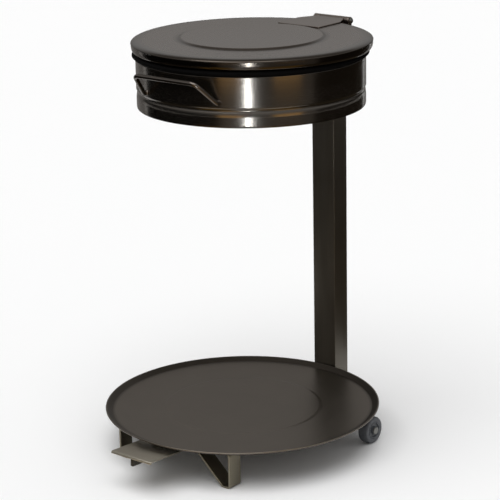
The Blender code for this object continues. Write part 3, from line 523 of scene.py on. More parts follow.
def stainless(
    name, dark, light, roughness, marks, axis=None, anisotropy=0.0, grain=0.06, relief=0.06, zones=()
):
    """Stainless steel sheet: two tones in streaks along the polishing direction and soft clouds of
    handling. Marks are the streak sizes in millimetres along x, y and z. Where a turned piece gives the
    place of its axis in y, they are the sizes around, around and across it: a point's place in the pattern
    is then its direction from the axis, with its radius plus its height. Zones are rings about that axis."""
    material, tree = empty_finish(name)
    place = put(tree, "ShaderNodeTexCoord").outputs["Object"]
    spot = place
    if axis is not None:
        moved = {"Vector": place, "Location": (0.0, -axis, 0.0)}
        from_axis = put(tree, "ShaderNodeMapping", None, moved).outputs[0]
        level = {0: from_axis, 1: (1.0, 1.0, 0.0)}
        flat = put(tree, "ShaderNodeVectorMath", {"operation": "MULTIPLY"}, level).outputs[0]
        toward = put(tree, "ShaderNodeVectorMath", {"operation": "NORMALIZE"}, {0: flat}).outputs[0]
        out = put(tree, "ShaderNodeVectorMath", {"operation": "LENGTH"}, {0: flat}).outputs["Value"]
        height = put(tree, "ShaderNodeSeparateXYZ", None, {0: from_axis}).outputs["Z"]
        across = put(tree, "ShaderNodeMath", {"operation": "ADD"}, {0: out, 1: height}).outputs[0]
        lifted = put(tree, "ShaderNodeCombineXYZ", None, {"Z": across}).outputs[0]
        widened = {0: toward, "Scale": LATHE_RADIUS}
        wide = put(tree, "ShaderNodeVectorMath", {"operation": "SCALE"}, widened).outputs[0]
        spot = put(tree, "ShaderNodeVectorMath", {"operation": "ADD"}, {0: wide, 1: lifted}).outputs[0]
    per_metre = tuple(MILLIMETRES / size for size in marks)
    sized = put(tree, "ShaderNodeMapping", None, {"Vector": spot, "Scale": per_metre}).outputs[0]
    streaks = put(tree, "ShaderNodeTexNoise", None, {"Vector": sized, **STREAK_NOISE}).outputs[0]
    clouds = put(tree, "ShaderNodeTexNoise", None, {"Vector": place, **CLOUD_NOISE}).outputs[0]
    thinned = {0: clouds, 1: CLOUD_SHARE, 2: -CLOUD_SHARE / 2}
    both = put(tree, "ShaderNodeMath", {"operation": "MULTIPLY_ADD"}, thinned).outputs[0]
    summed = {"operation": "ADD", "use_clamp": True}
    tone = put(tree, "ShaderNodeMath", summed, {0: streaks, 1: both}).outputs[0]
    tones = {0: tone, COLOUR_A: linear(dark), COLOUR_B: linear(light)}
    colour = put(tree, "ShaderNodeMix", {"data_type": "RGBA"}, tones).outputs[COLOUR_OUT]
    spread = {"Value": tone, "To Min": roughness - grain, "To Max": roughness + grain}
    dulled = put(tree, "ShaderNodeMapRange", None, spread).outputs[0]
    for zone_tone, zone_roughness, begins, full, thins, ends in zones:
        rising = {"Value": out, "From Min": begins, "From Max": full}
        onset = put(tree, "ShaderNodeMapRange", None, rising).outputs[0]
        falling = {"Value": out, "From Min": thins, "From Max": ends, "To Min": 1.0, "To Max": 0.0}
        ending = put(tree, "ShaderNodeMapRange", None, falling).outputs[0]
        share = put(tree, "ShaderNodeMath", {"operation": "MULTIPLY"}, {0: onset, 1: ending}).outputs[0]
        toned = {0: share, COLOUR_A: colour, COLOUR_B: linear(zone_tone)}
        colour = put(tree, "ShaderNodeMix", {"data_type": "RGBA"}, toned).outputs[COLOUR_OUT]
        roughened = {0: share, NUMBER_A: dulled, NUMBER_B: zone_roughness}
        dulled = put(tree, "ShaderNodeMix", {"data_type": "FLOAT"}, roughened).outputs[0]
    raised = {"Strength": relief, "Distance": STREAK_HEIGHT, "Height": streaks}
    bump = put(tree, "ShaderNodeBump", None, raised).outputs[0]
    surface = {"Base Color": colour, "Metallic": 1.0, "Roughness": dulled, "Normal": bump}
    shader = put(tree, "ShaderNodeBsdfPrincipled", None, surface)
    if anisotropy:
        shader.inputs["Anisotropic"].default_value = anisotropy
        shader.inputs["Anisotropic Rotation"].default_value = QUARTER_TURN
        tangent = put(tree, "ShaderNodeTangent", {"direction_type": "RADIAL", "axis": "Z"}).outputs[0]
        tree.links.new(tangent, shader.inputs["Tangent"])
    put(tree, "ShaderNodeOutputMaterial", None, {"Surface": shader.outputs[0]})
    return material


def moulded(name, dark, light, roughness, speck, relief, metallic=0.0, gloss=0.5):
    """Moulded or plated stock: two close tones in small specks, whose size is in millimetres, with a fine
    relief of the same specks. A dusty surface has less gloss than the usual half."""
    material, tree = empty_finish(name)
    place = put(tree, "ShaderNodeTexCoord").outputs["Object"]
    grains = {"Vector": place, "Scale": MILLIMETRES / speck, **SPECK_NOISE}
    specks = put(tree, "ShaderNodeTexNoise", None, grains).outputs[0]
    tones = {0: specks, COLOUR_A: linear(dark), COLOUR_B: linear(light)}
    colour = put(tree, "ShaderNodeMix", {"data_type": "RGBA"}, tones).outputs[COLOUR_OUT]
    spread = {"Value": specks, "To Min": roughness - SPECK_GRAIN, "To Max": roughness + SPECK_GRAIN}
    dulled = put(tree, "ShaderNodeMapRange", None, spread).outputs[0]
    raised = {"Strength": relief, "Distance": SPECK_HEIGHT, "Height": specks}
    bump = put(tree, "ShaderNodeBump", None, raised).outputs[0]
    surface = {"Base Color": colour, "Metallic": metallic, "Roughness": dulled, "Normal": bump}
    shader = put(tree, "ShaderNodeBsdfPrincipled", None, surface)
    shader.inputs["Specular IOR Level"].default_value = gloss
    put(tree, "ShaderNodeOutputMaterial", None, {"Surface": shader.outputs[0]})
    return material


# Stainless sheet spun and satin polished on a lathe: rings too fine to see, drawn 3 mm wide so that they show
# Painted shade darkens the crease round the lid's circle
CREASE_PAINTED_SHADE = zone("#5a534d", 0.28, LID_CIRCLE, -0.0035, -0.001, 0.002, 0.012)
# The rim is painted darker as painted shade, and its lower roughness is a finer polish
RIM_PAINTED_SHADE = zone("#4c4640", 0.18, LID_RADIUS, -0.024, -0.002, 0.010, 0.020)
LID_STEEL = stainless(
    "satin_stainless_lid", "#7b726b", "#8c837c", 0.28, (90, 90, 3), LID_Y, zones=(CREASE_PAINTED_SHADE, RIM_PAINTED_SHADE)
)
# Painted shade darkens the corner of the tray's lip, which is also rougher there, and fades out before its
# edge
LIP_PAINTED_SHADE = zone("#48433d", 0.38, LIP_FOOT, -0.006, 0.001, LIP_WIDTH - 0.004, LIP_WIDTH - 0.001)
TRAY_STEEL = stainless(
    "satin_stainless_tray", "#6d675f", "#7c756d", 0.34, (90, 90, 3), TRAY_Y, zones=(LIP_PAINTED_SHADE,)
)
# Stainless band brushed round the ring on a belt, so a lamp draws out to an upright stripe
RING_STEEL = stainless(
    "brushed_stainless_ring",
    "#5d5852",
    "#68635d",
    0.21,
    (120, 120, 3),
    RING_Y,
    anisotropy=0.3,
    grain=0.02,
    relief=0.01,
)
# Stainless tube and strip polished lengthwise on a belt, streaks drawn 2 mm wide so that they show
COLUMN_STEEL = stainless("polished_stainless_tube", "#635e56", "#706b62", 0.38, (2, 2, 120), relief=0.02)
RAIL_STEEL = stainless("satin_stainless_rail", "#3a3732", "#46433d", 0.36, (2, 90, 2))
FOOT_STEEL = stainless("satin_stainless_strip", "#7a7466", "#8a8474", 0.44, (60, 2, 60))
# Painted shadow of the tray darkens the rear of the pedal, under the tray; its front keeps the plain tone
PEDAL_PAINTED_SHADOW = zone("#1a1815", 0.5, TRAY_RADIUS, -0.450, -0.350, -0.040, -0.026)
PEDAL_STEEL = stainless(
    "satin_stainless_pedal", "#a39d8f", "#b3ad9f", 0.36, (90, 90, 2), TRAY_Y, zones=(PEDAL_PAINTED_SHADOW,)
)
HINGE_STEEL = stainless("satin_stainless_hinge", "#837972", "#938982", 0.34, (2, 60, 60))
# Bright drawn stainless bar, polished along its length after bending
BAR_STEEL = stainless("polished_stainless_bar", "#5d5752", "#6f6963", 0.20, (60, 3, 3))
# Zinc plating on steel fasteners: a fine grey bloom of crystals a millimetre or two across
ZINC = moulded("zinc_plated_steel", "#6f6f6c", "#8b8b88", 0.38, 1.8, 0.05, metallic=1.0)
# Extruded black rubber: matt, with faint bloom
BLACK_RUBBER = moulded("black_rubber", "#040404", "#090808", 0.75, 1.5, 0.10, gloss=0.04)
# Moulded grey tyre rubber, dulled by floor dust
TYRE_RUBBER = moulded("grey_rubber", "#4b4d50", "#5a5c60", 0.62, 2.0, 0.15)
# Injection moulded nylon with a fine spark texture
GREY_NYLON = moulded("grey_nylon", "#43464a", "#4e5155", 0.45, 1.2, 0.10)
BLACK_NYLON = moulded("black_nylon", "#101010", "#181818", 0.45, 1.2, 0.10)


# Pieces of the stand


def foot_tray():
    """The tray: a sheet profile with a pressed circle, a flared lip and a folded hem, turned about its
    axis."""
    crown = TRAY_TOP + TRAY_CIRCLE_RISE
    inner = TRAY_CIRCLE - CIRCLE_SLOPE / 2
    outer = TRAY_CIRCLE + CIRCLE_SLOPE / 2
    rim = tray_high.z
    upper = [(0.0, crown), (inner, crown), (outer, TRAY_TOP), (LIP_FOOT, TRAY_TOP)]
    hem = [(TRAY_RADIUS - HEM, rim), (TRAY_RADIUS, rim), (TRAY_RADIUS, rim - HEM)]
    lower = [(LIP_FOOT + TRAY_SHEET, tray_low.z), (outer, tray_low.z)]
    lower += [(inner, crown - TRAY_SHEET), (0.0, crown - TRAY_SHEET)]
    bends = TRAY_UPPER_BENDS + HEM_BENDS + TRAY_LOWER_BENDS
    profile = rounded(upper + hem + lower, bends, steps=6)
    tray = solid("foot_tray", turned(profile, (0.0, TRAY_Y, 0.0), steps=TRAY_AROUND))
    fit(tray, TRAY_STEEL, "satin_stainless", "stand", "base_plate")


def column_tube():
    """The oblong tube: a rounded rectangle pushed up, hollow, with the lever's slot at its foot."""
    low = (column_low.x, column_low.y)
    high = (column_high.x, column_high.y)
    outline = rectangle(low, high, COLUMN_CORNER, steps=8)
    tube = solid("column_tube", slab(outline, 2, column_low.z, column_high.z, SAWN_EDGE))
    bore_low = (column_low.x + COLUMN_WALL, column_low.y + COLUMN_WALL)
    bore_high = (column_high.x - COLUMN_WALL, column_high.y - COLUMN_WALL)
    inside = rectangle(bore_low, bore_high, COLUMN_BORE_CORNER, steps=4)
    bore = slab(inside, 2, column_low.z - COLUMN_WALL, column_high.z + COLUMN_WALL, CUT_EDGE)
    combine(tube, solid("bore", bore), "DIFFERENCE")
    slot_half = LEVER_THICKNESS / 2 + SLOT_PLAY
    slot_low = (-slot_half, PIVOT_Z - SLOT_BELOW)
    slot_high = (slot_half, PIVOT_Z + SLOT_ABOVE)
    opening = rectangle(slot_low, slot_high, SLOT_CORNER, steps=2)
    slot = slab(opening, 1, column_low.y - COLUMN_WALL, column_low.y + 2 * COLUMN_WALL, CUT_EDGE)
    combine(tube, solid("slot", slot), "DIFFERENCE")
    fit(tube, COLUMN_STEEL, "satin_stainless", "stand", "column")


def rail_channel():
    """The channel under the tray: a strip bent down at both sides, carried along its length."""
    side = rail_high.x - RAIL_WALL / 2
    top = rail_high.z - RAIL_WALL / 2
    middle = (rail_low.y + rail_high.y) / 2
    corners = [(-side, rail_low.z), (-side, top), (side, top), (side, rail_low.z)]
    path = rounded(corners, [RAIL_BEND, RAIL_BEND], steps=6)
    path = np.insert(path, 1, middle, axis=1)
    grid = strip(path, Y_AXIS, rail_high.y - rail_low.y, RAIL_WALL, RAIL_EDGE)
    fit(solid("rail_channel", grid), RAIL_STEEL, "satin_stainless", "stand", "base_rail")


def front_feet():
    """The front feet: a strip carried along a bent path of flange, upright, sole, brace and flange."""
    outer = foot_high.x - FOOT_STRIP / 2
    top = foot_high.z - FOOT_STRIP / 2
    sole = FOOT_STRIP / 2
    inner = outer - FOOT_REACH
    corners = [
        (outer - FOOT_OUTER_FLANGE, top),
        (outer, top),
        (outer, sole),
        (outer - FOOT_SOLE, sole),
        (inner, top),
        (inner - FOOT_INNER_FLANGE, top),
    ]
    path = rounded(corners, [FOOT_BEND] * 4, steps=10)
    path = np.insert(path, 1, (foot_low.y + foot_high.y) / 2, axis=1)
    grid = strip(path, Y_AXIS, foot_high.y - foot_low.y, FOOT_STRIP, STRIP_EDGE)
    for hand, side in HANDS:
        foot = solid(f"strip_foot_{hand}", grid * (side, 1.0, 1.0))
        fit(foot, FOOT_STEEL, "satin_stainless", "stand", f"front_foot_{hand}")


def wheel_profiles():
    """Half sections of tyre and hub as radii and places along the axle, each face mirrored to the other."""
    half = (tyre_high.x - tyre_low.x) / 2
    seat = HUB_RADIUS + FREE_FIT
    edge = WHEEL_RADIUS - TREAD_DROP
    tread = [(seat, 0.0), (seat, half), (edge, half), (WHEEL_RADIUS, half - TREAD_SHOULDER)]
    tread += [(radius, -along) for radius, along in reversed(tread)]
    tyre_profile = rounded(tread, TYRE_BENDS + TYRE_BENDS[::-1], steps=6)[:-1]
    boss = (hub_high.x - hub_low.x) / 2
    web = boss - HUB_WEB_DEPTH
    rim = HUB_RADIUS - HUB_RIM
    face = boss - HUB_RIM_DEPTH
    hub_face = [(0.0, boss), (HUB_BOSS, boss), (HUB_BOSS + HUB_BOSS_DRAFT, web), (rim, web)]
    hub_face += [(rim + HUB_RIM_DRAFT, face), (HUB_RADIUS, face)]
    hub_back = [(radius, -along) for radius, along in reversed(hub_face)]
    hub_profile = rounded(hub_face + hub_back, HUB_BENDS + HUB_BENDS[::-1], steps=3)
    return tyre_profile, hub_profile


def hanger_strip():
    """A wheel's hanger: a strip bent down at both ends, whose half width narrows to the eye and then
    follows the eye's circle, the square root of its radius squared less the depth below its centre
    squared."""
    inner = hanger_low.x + HANGER_WALL / 2
    outer = hanger_high.x - HANGER_WALL / 2
    top = hanger_high.z - HANGER_WALL / 2
    swept = np.linspace(np.pi / 2, 0, HANGER_EYE_POINTS)
    drop = WHEEL_RADIUS - (HANGER_EYE - HANGER_EYE_FLAT) * np.sin(swept)
    cheek = np.stack([np.full_like(drop, inner), drop], axis=1)
    corners = [cheek[-1], (inner, top), (outer, top), (outer, WHEEL_RADIUS)]
    over = rounded(corners, [HANGER_BEND, HANGER_BEND], steps=6)
    path = np.concatenate([cheek[:-1], over, (cheek * (0.0, 1.0) + (outer, 0.0))[::-1][1:]])
    below = np.clip(WHEEL_RADIUS - path[:, 1], 0, HANGER_EYE)
    above = np.clip((path[:, 1] - WHEEL_RADIUS) / (top - WHEEL_RADIUS), 0, 1)
    eye = np.sqrt(HANGER_EYE**2 - below**2)
    taper = (hanger_high.y - hanger_low.y) / 2 - HANGER_EYE
    path = np.insert(path, 1, WHEEL_Y, axis=1)
    return strip(path, Y_AXIS, 2 * (eye + taper * above), HANGER_WALL, SAWN_EDGE)


def wheel_set():
    """The wheels: turned tyres, hubs and axles, hexagons pushed through for nuts, and bent hangers."""
    tyre_profile, hub_profile = wheel_profiles()
    hanger_grid = hanger_strip()
    seat = axle_high.x - AXLE_HEAD
    bolt_profile = headed_pin(
        axle_high.x, seat, axle_low.x, AXLE_HEAD_RADIUS, AXLE_RADIUS, HEAD_CROWN, AXLE_BENDS, steps=6
    )
    hexagon = arc((WHEEL_Y, WHEEL_RADIUS), NUT_RADIUS, 0, 360, steps=6)[:-1]
    centre = (WHEEL_X, WHEEL_Y, WHEEL_RADIUS)
    axle_place = (0.0, WHEEL_Y, WHEEL_RADIUS)
    for hand, side in HANDS:
        mirror = (side, 1.0, 1.0)
        tyre_grid = turned(tyre_profile, centre, 0, TYRE_AROUND)
        tyre = solid(f"rolling_tyre_{hand}", tyre_grid * mirror, looped=True)
        fit(tyre, TYRE_RUBBER, "grey_rubber", f"wheel_{hand}", f"wheel_{hand}_tyre")
        hub = solid(f"wheel_centre_{hand}", turned(hub_profile, centre, 0, HUB_AROUND) * mirror)
        fit(hub, GREY_NYLON, "grey_nylon", f"wheel_{hand}", f"wheel_{hand}_hub")
        axle = solid(f"stub_axle_{hand}", turned(bolt_profile, axle_place, 0, AXLE_AROUND) * mirror)
        fit(axle, ZINC, "zinc_plated_steel", "stand", f"wheel_{hand}_axle")
        nut = solid(f"axle_nut_{hand}", slab(hexagon, 0, nut_low.x, nut_high.x, PLATE_EDGE) * mirror)
        fit(nut, ZINC, "zinc_plated_steel", "stand", f"wheel_{hand}_nut")
        hanger = solid(f"bent_hanger_{hand}", hanger_grid * mirror)
        fit(hanger, ZINC, "zinc_plated_steel", "stand", f"wheel_{hand}_hanger")


def bag_holder():
    """The ring and its rubber band: closed sheet profiles turned about the ring's axis. The wall has a
    rolled groove that follows half a sine wave, and below it a sloping flank, an upright wall and an edge
    that turns in."""
    share = np.linspace(0, 1, GROOVE_POINTS)
    flank_radius = LOWER_WALL_RADIUS - FLANK_RISE
    narrowed = RING_RADIUS - (RING_RADIUS - flank_radius) * share
    groove_radius = narrowed - GROOVE_DEPTH * np.sin(np.pi * share)
    groove = np.stack([groove_radius, GROOVE_TOP - (GROOVE_TOP - GROOVE_BOTTOM) * share], axis=1)
    shoulder = [
        (NECK_RADIUS, ring_high.z),
        (NECK_RADIUS, RING_SHOULDER),
        (RING_RADIUS, RING_SHOULDER),
        (RING_RADIUS, GROOVE_TOP + GROOVE_LEAD),
    ]
    wall_edge = ring_low.z + LOWER_EDGE_LIFT
    wall = [
        (flank_radius, GROOVE_BOTTOM),
        (LOWER_WALL_RADIUS, GROOVE_BOTTOM - FLANK_DROP),
        (LOWER_WALL_RADIUS, wall_edge + LOWER_EDGE_DROP),
        (LOWER_WALL_RADIUS - LOWER_EDGE_CURL, wall_edge),
    ]
    upper = rounded(shoulder, NECK_BENDS)
    lower = rounded(wall, LOWER_WALL_BENDS)[1:]
    sheet = thickened(np.concatenate([upper, groove, lower]), RING_SHEET)
    centre = (0.0, RING_Y, 0.0)
    ring = solid("bag_ring_wall", turned(sheet, centre, steps=RING_AROUND), looped=True)
    fit(ring, RING_STEEL, "polished_stainless", "stand", "bag_ring")

    middle = (BAND_LOW + band_high.z) / 2
    inner = NECK_RADIUS + FREE_FIT
    edge = band_high.x - BAND_BEVEL_WIDTH
    section = [
        (inner, middle),
        (inner, BAND_LOW),
        (edge, BAND_LOW),
        (band_high.x, BAND_LOW + BAND_BEVEL_HEIGHT),
        (band_high.x, band_high.z - BAND_BEVEL_HEIGHT),
        (edge, band_high.z),
        (inner, band_high.z),
        (inner, middle),
    ]
    bulge = rounded(section, BAND_BENDS + BAND_BENDS[::-1], steps=6)[:-1]
    rubber = solid("rubber_band", turned(bulge, centre, steps=TRAY_AROUND), looped=True)
    fit(rubber, BLACK_RUBBER, "black_rubber", "stand", "bag_clamp_band")


def lifting_handle():
    """The handle: a round bar along a path from the ring wall out, up and across, with a weld bead at each
    foot whose radius falls off exponentially from the wall."""
    lean = math.asin(HANDLE_FOOT_X / RING_RADIUS)
    outward = np.array((math.sin(lean), -math.cos(lean), 0.0))
    centre = np.array((0.0, RING_Y, HANDLE_FOOT_Z))
    start = centre + outward * (RING_RADIUS - WELD_SINK)
    knee = centre + outward * (RING_RADIUS + HANDLE_FOOT_OUT)
    corner = np.array((HANDLE_CORNER_X, RING_Y - RING_RADIUS - HANDLE_CORNER_OUT, HANDLE_CORNER_Z))
    right = np.stack([start, knee, corner])
    bends = [HANDLE_KNEE_BEND, HANDLE_BEND, HANDLE_BEND, HANDLE_KNEE_BEND]
    bent = rounded(np.concatenate([right, right[::-1] * (-1.0, 1.0, 1.0)]), bends, steps=14)
    near = np.linspace(0, 1, WELD_POINTS)[:-1, None]
    lead = bent[0] + (bent[1] - bent[0]) * near
    tail = (bent[-1] + (bent[-2] - bent[-1]) * near)[::-1]
    path = np.concatenate([lead, bent[1:-1], tail])
    ends = np.linalg.norm(path[:, None] - path[[0, -1]], axis=2)
    radius = HANDLE_BAR + WELD_BEAD * np.exp(-np.min(ends, axis=1) / WELD_FADE)
    bar = solid("lifting_handle", round_bar(path, radius))
    fit(bar, BAR_STEEL, "polished_stainless", "stand", "handle")


def ring_mount():
    """The saddle: an outline with the ring's arc in front, pushed up, and two domed bolts turned about
    their axes."""
    half = saddle_high.x
    lean = math.degrees(math.asin(half / RING_RADIUS))
    front = arc((0.0, RING_Y), RING_RADIUS + FREE_FIT, 90 + lean, 90 - lean, steps=12)
    outline = np.concatenate([front, [(half, saddle_high.y), (-half, saddle_high.y)]])[::-1]
    saddle = solid("ring_saddle_block", slab(outline, 2, saddle_low.z, saddle_high.z, STRIP_EDGE))
    fit(saddle, RAIL_STEEL, "satin_stainless", "stand", "ring_saddle")
    for hand, side in HANDS:
        low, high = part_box(f"ring_bolt_{hand}")
        seat = low.y + BOLT_HEAD
        radii = (BOLT_HEAD_RADIUS, BOLT_RADIUS)
        domed = headed_pin(low.y, seat, high.y, *radii, HEAD_CROWN, BOLT_BENDS, steps=5)
        place = (side * BOLT_SPREAD, 0.0, (low.z + high.z) / 2)
        bolt = solid(f"domed_bolt_{hand}", turned(domed, place, 1))
        fit(bolt, ZINC, "zinc_plated_steel", "stand", f"ring_bolt_{hand}")


def hinge_parts():
    """The hinge: a plate and two knuckles on the column, a strap with its knuckle on the lid, pin and clip.
    Plates and knuckles are outlines pushed through their thickness with rounded edges."""
    corner_low = (bracket_low.x, bracket_low.y)
    corner_high = (bracket_high.x, bracket_high.y)
    plate_line = rectangle(corner_low, corner_high, BRACKET_CORNER)
    top = bracket_low.z + BRACKET_PLATE
    bracket = solid("hinge_bracket_plate", slab(plate_line, 2, bracket_low.z, top, BRACKET_EDGE))
    room_low = (-ROD_OPENING - SIDE_PLAY, ROD_Y - ROD_OPENING)
    room_high = (ROD_OPENING + SIDE_PLAY, ROD_Y + ROD_OPENING + SIDE_PLAY)
    room = rectangle(room_low, room_high, ROD_OPENING_CORNER, steps=3)
    opening = slab(room, 2, top - CUT_REACH, top + CUT_REACH, CUT_EDGE)
    combine(bracket, solid("opening", opening), "DIFFERENCE")
    eye_centre = (HINGE_Y, HINGE_Z)
    stem = BRACKET_STEM / 2
    below = math.degrees(math.acos(stem / KNUCKLE_RADIUS))
    root = bracket_low.z + BRACKET_PLATE / 2
    eye = arc(eye_centre, KNUCKLE_RADIUS, -below, 180 + below, steps=32)
    upright = np.concatenate([[(HINGE_Y - stem, root), (HINGE_Y + stem, root)], eye])
    inner = LID_KNUCKLE_HALF + SIDE_PLAY
    for low, high in ((-bracket_high.x, -inner), (inner, bracket_high.x)):
        combine(bracket, solid("knuckle", slab(upright, 0, low, high, SAWN_EDGE)), "UNION")
    fit(bracket, HINGE_STEEL, "satin_stainless", "stand", "hinge_bracket")

    narrow = LID_KNUCKLE_HALF + STRAP_STEP
    wide = strap_high.x
    right = [(wide, strap_low.y), (wide, STRAP_REAR - STRAP_TAPER), (narrow, STRAP_REAR)]
    left = [(-x, y) for x, y in reversed(right)]
    seam = (0.0, strap_low.y)
    strap_line = rounded([seam, *right, *left, seam], STRAP_BENDS + STRAP_BENDS[::-1])[:-1]
    strap = solid("lid_strap", slab(strap_line, 2, STRAP_LOW, STRAP_HIGH, PLATE_EDGE))
    low_angle = 180 - math.degrees(math.asin((STRAP_LOW - HINGE_Z) / KNUCKLE_RADIUS))
    high_angle = 540 - math.degrees(math.asin((STRAP_HIGH - HINGE_Z) / KNUCKLE_RADIUS))
    rolled = arc(eye_centre, KNUCKLE_RADIUS, low_angle, high_angle, steps=40)
    lap = STRAP_REAR - STRAP_TONGUE
    tongue = np.concatenate([[(lap, STRAP_HIGH), (lap, STRAP_LOW)], rolled])
    knuckle = slab(tongue, 0, -LID_KNUCKLE_HALF, LID_KNUCKLE_HALF, SAWN_EDGE)
    combine(strap, solid("rolled", knuckle), "UNION")
    fit(strap, HINGE_STEEL, "satin_stainless", "lid", "lid_hinge_strap")

    face = bracket_high.x + FREE_FIT
    radii = (PIN_HEAD_RADIUS, HINGE_PIN_RADIUS)
    pin_profile = headed_pin(hinge_low.x, -face, hinge_high.x, *radii, PIN_CROWN, PIN_BENDS, steps=5)
    pin = solid("hinge_rivet", turned(pin_profile, (0.0, HINGE_Y, HINGE_Z), 0))
    fit(pin, ZINC, "zinc_plated_steel", "stand", "hinge_pin")
    circle = arc(eye_centre, PIN_HEAD_RADIUS, 0, 360, steps=36)[:-1]
    washer = solid("hinge_washer", slab(circle, 0, face, face + PIN_HEAD, PLATE_EDGE))
    fit(washer, ZINC, "zinc_plated_steel", "stand", "hinge_pin_clip")


def lid_dish():
    """The lid: a sheet profile with a raised circle, a quarter ellipse for a shoulder, a fine crease and a
    rim that draws in by a fourth power of its depth, turned about the lid's axis and notched at the rear."""
    inner = LID_CIRCLE - LID_STEP / 2
    outer = LID_CIRCLE + LID_STEP / 2
    flat = LID_RADIUS - LID_SHOULDER
    lines = [(0.0, LID_CROWN), (inner, LID_CROWN), (outer, LID_TOP), (flat, LID_TOP)]
    top = rounded(lines, LID_STEP_BENDS)
    swept = np.linspace(0, np.pi / 2, LID_SHOULDER_POINTS)[1:]
    edge_radius = flat + LID_SHOULDER * np.sin(swept)
    edge_height = LID_TOP - LID_SHOULDER_DROP * (1 - np.cos(swept))
    shoulder = np.stack([edge_radius, edge_height], axis=1)
    share = np.linspace(0, 1, LID_RIM_POINTS)[1:]
    rim_top = LID_TOP - LID_SHOULDER_DROP - LID_CREASE
    rim_radius = LID_RADIUS - LID_CREASE - LID_RIM_TAPER * share**4
    rim = np.stack([rim_radius, rim_top + (lid_low.z - rim_top) * share], axis=1)
    crease = [(LID_RADIUS - LID_CREASE, rim_top)]
    smooth = np.concatenate([top, shoulder, rim])
    inside = thickened(smooth, LID_SHEET)[len(smooth) :]
    sheet = np.concatenate([top, shoulder, crease, rim, inside])
    sheet[:, 0] = np.maximum(sheet[:, 0], 0.0)
    lid = solid("lid_dish", turned(sheet, (0.0, LID_Y, 0.0), steps=RING_AROUND))
    rear = LID_Y + LID_RADIUS
    notch_low = (-NOTCH_WIDTH / 2, rear - NOTCH_DEPTH)
    notch_high = (NOTCH_WIDTH / 2, rear + NOTCH_DEPTH)
    notch_line = rectangle(notch_low, notch_high, NOTCH_CORNER)
    notch = slab(notch_line, 2, lid_low.z - CUT_REACH, LID_TOP + LID_SHEET, CUT_EDGE)
    combine(lid, solid("notch", notch), "DIFFERENCE")
    fit(lid, LID_STEEL, "satin_stainless", "lid", "lid_shell")


def tilted(grid):
    """A grid turned about the pedal's pivot by the lever's rest angle, its front end upwards."""
    y = grid[..., 1] * math.cos(LEVER_TILT) + grid[..., 2] * math.sin(LEVER_TILT)
    z = grid[..., 2] * math.cos(LEVER_TILT) - grid[..., 1] * math.sin(LEVER_TILT)
    return np.stack([grid[..., 0], y + PIVOT_Y, z + PIVOT_Z], axis=-1)


def pedal_parts():
    """The lever and the pedal plate: flat bars along straight and bent paths, turned by the lever's rest
    angle about its pin."""
    bar_path = [(0.0, along, 0.0) for along in np.linspace(LEVER_FRONT, LEVER_END, LEVER_POINTS)]
    bar = strip(bar_path, Z_AXIS, 2 * LEVER_HALF, LEVER_THICKNESS, STRIP_EDGE)
    fit(solid("lever_bar", tilted(bar)), RAIL_STEEL, "satin_stainless", "pedal", "pedal_lever")

    level = PEDAL_TOP - PEDAL_SHEET / 2
    front = PEDAL_FRONT + PEDAL_SHEET / 2
    lines = [(PEDAL_FRONT + PEDAL_DEPTH, level), (front, level), (front, PEDAL_TOP - PEDAL_LIP)]
    path = np.insert(rounded(lines, [PEDAL_BEND]), 0, 0.0, axis=1)
    plate = strip(path, X_AXIS, 2 * PEDAL_HALF_WIDTH, PEDAL_SHEET, STRIP_EDGE)
    fit(solid("foot_pedal", tilted(plate)), PEDAL_STEEL, "satin_stainless", "pedal", "pedal_plate")

    face = rail_high.x + FREE_FIT
    radii = (PIVOT_PIN_RADIUS + PIN_HEAD, PIVOT_PIN_RADIUS)
    pin_profile = headed_pin(pivot_low.x, -face, pivot_high.x, *radii, PIN_CROWN, PIN_BENDS, steps=5)
    pin = solid("pivot_rivet", turned(pin_profile, (0.0, PIVOT_Y, PIVOT_Z), 0))
    fit(pin, ZINC, "zinc_plated_steel", "stand", "pedal_pivot_pin")


def plain_parts():
    """The parts inside the column and under the tray keep their solids and take their finishes."""
    finishes = (
        (BLACK_NYLON, ("column_foot_plug", "rod_guide_lower", "rod_guide_upper", "rod_foot")),
        (BLACK_NYLON, ("pivot_spacer_left", "pivot_spacer_right")),
        (ZINC, ("ring_nut_left", "ring_nut_right", "pedal_pivot_clip")),
        (ZINC, ("crank_pin", "push_rod", "rod_yoke")),
        (HINGE_STEEL, ("lid_crank",)),
    )
    for finish, names in finishes:
        for name in names:
            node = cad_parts[name]
            node.data.materials.clear()
            node.data.materials.append(finish)


foot_tray()
column_tube()
rail_channel()
front_feet()
wheel_set()
bag_holder()
lifting_handle()
ring_mount()
hinge_parts()
lid_dish()
pedal_parts()
plain_parts()


# Floor, light and camera

FLOOR_HALF = 15.0
FLOOR_WHITE = "#f6f6f6"
HORIZON_GREY = "#909090"
ZENITH_GREY = "#dadada"
# The sun's place from the middle of the floor: towards the camera, to its right and up
SUN_PLACE = (1.0, -0.6, 3.0)
SUN_STRENGTH = 1.7
SUN_ANGLE = math.radians(60)
STRIP_AZIMUTH = -3.2
STRIP_DISTANCE = 1.25
STRIP_POWER = 0.25
STRIP_SIZE = (0.035, 0.36)
STRIP_TONE = (0.86, 0.93, 1.0)
STRIP_HEIGHT = 0.46
STRIP_AIM = 0.68
STRIP_SPREAD = math.radians(45.0)
# Two edges of a cloth that hangs or lies round the object, each as its radius and height in metres
SIDE_WALL = ((1.3, 0.60), (1.3, 0.88))
FRONT_WALL = ((1.3, 0.60), (1.3, 0.84))
BACK_WALL = ((1.5, 0.0), (1.5, 1.0))
BACK_CEILING = ((0.01, 2.4), (2.5, 2.4))
FRONT_CEILING = ((0.01, 2.4), (0.55, 2.4))
FAR_FLOOR = ((1.3, 0.004), (9.0, 0.004))
NEAR_FLOOR = ((0.45, 0.004), (1.3, 0.004))
UNDER_FLOOR = ((0.01, 0.004), (0.19, 0.004))
FAR_WALL = ((FLOOR_HALF - 1.0, 0.0), (FLOOR_HALF - 1.0, FLOOR_HALF))
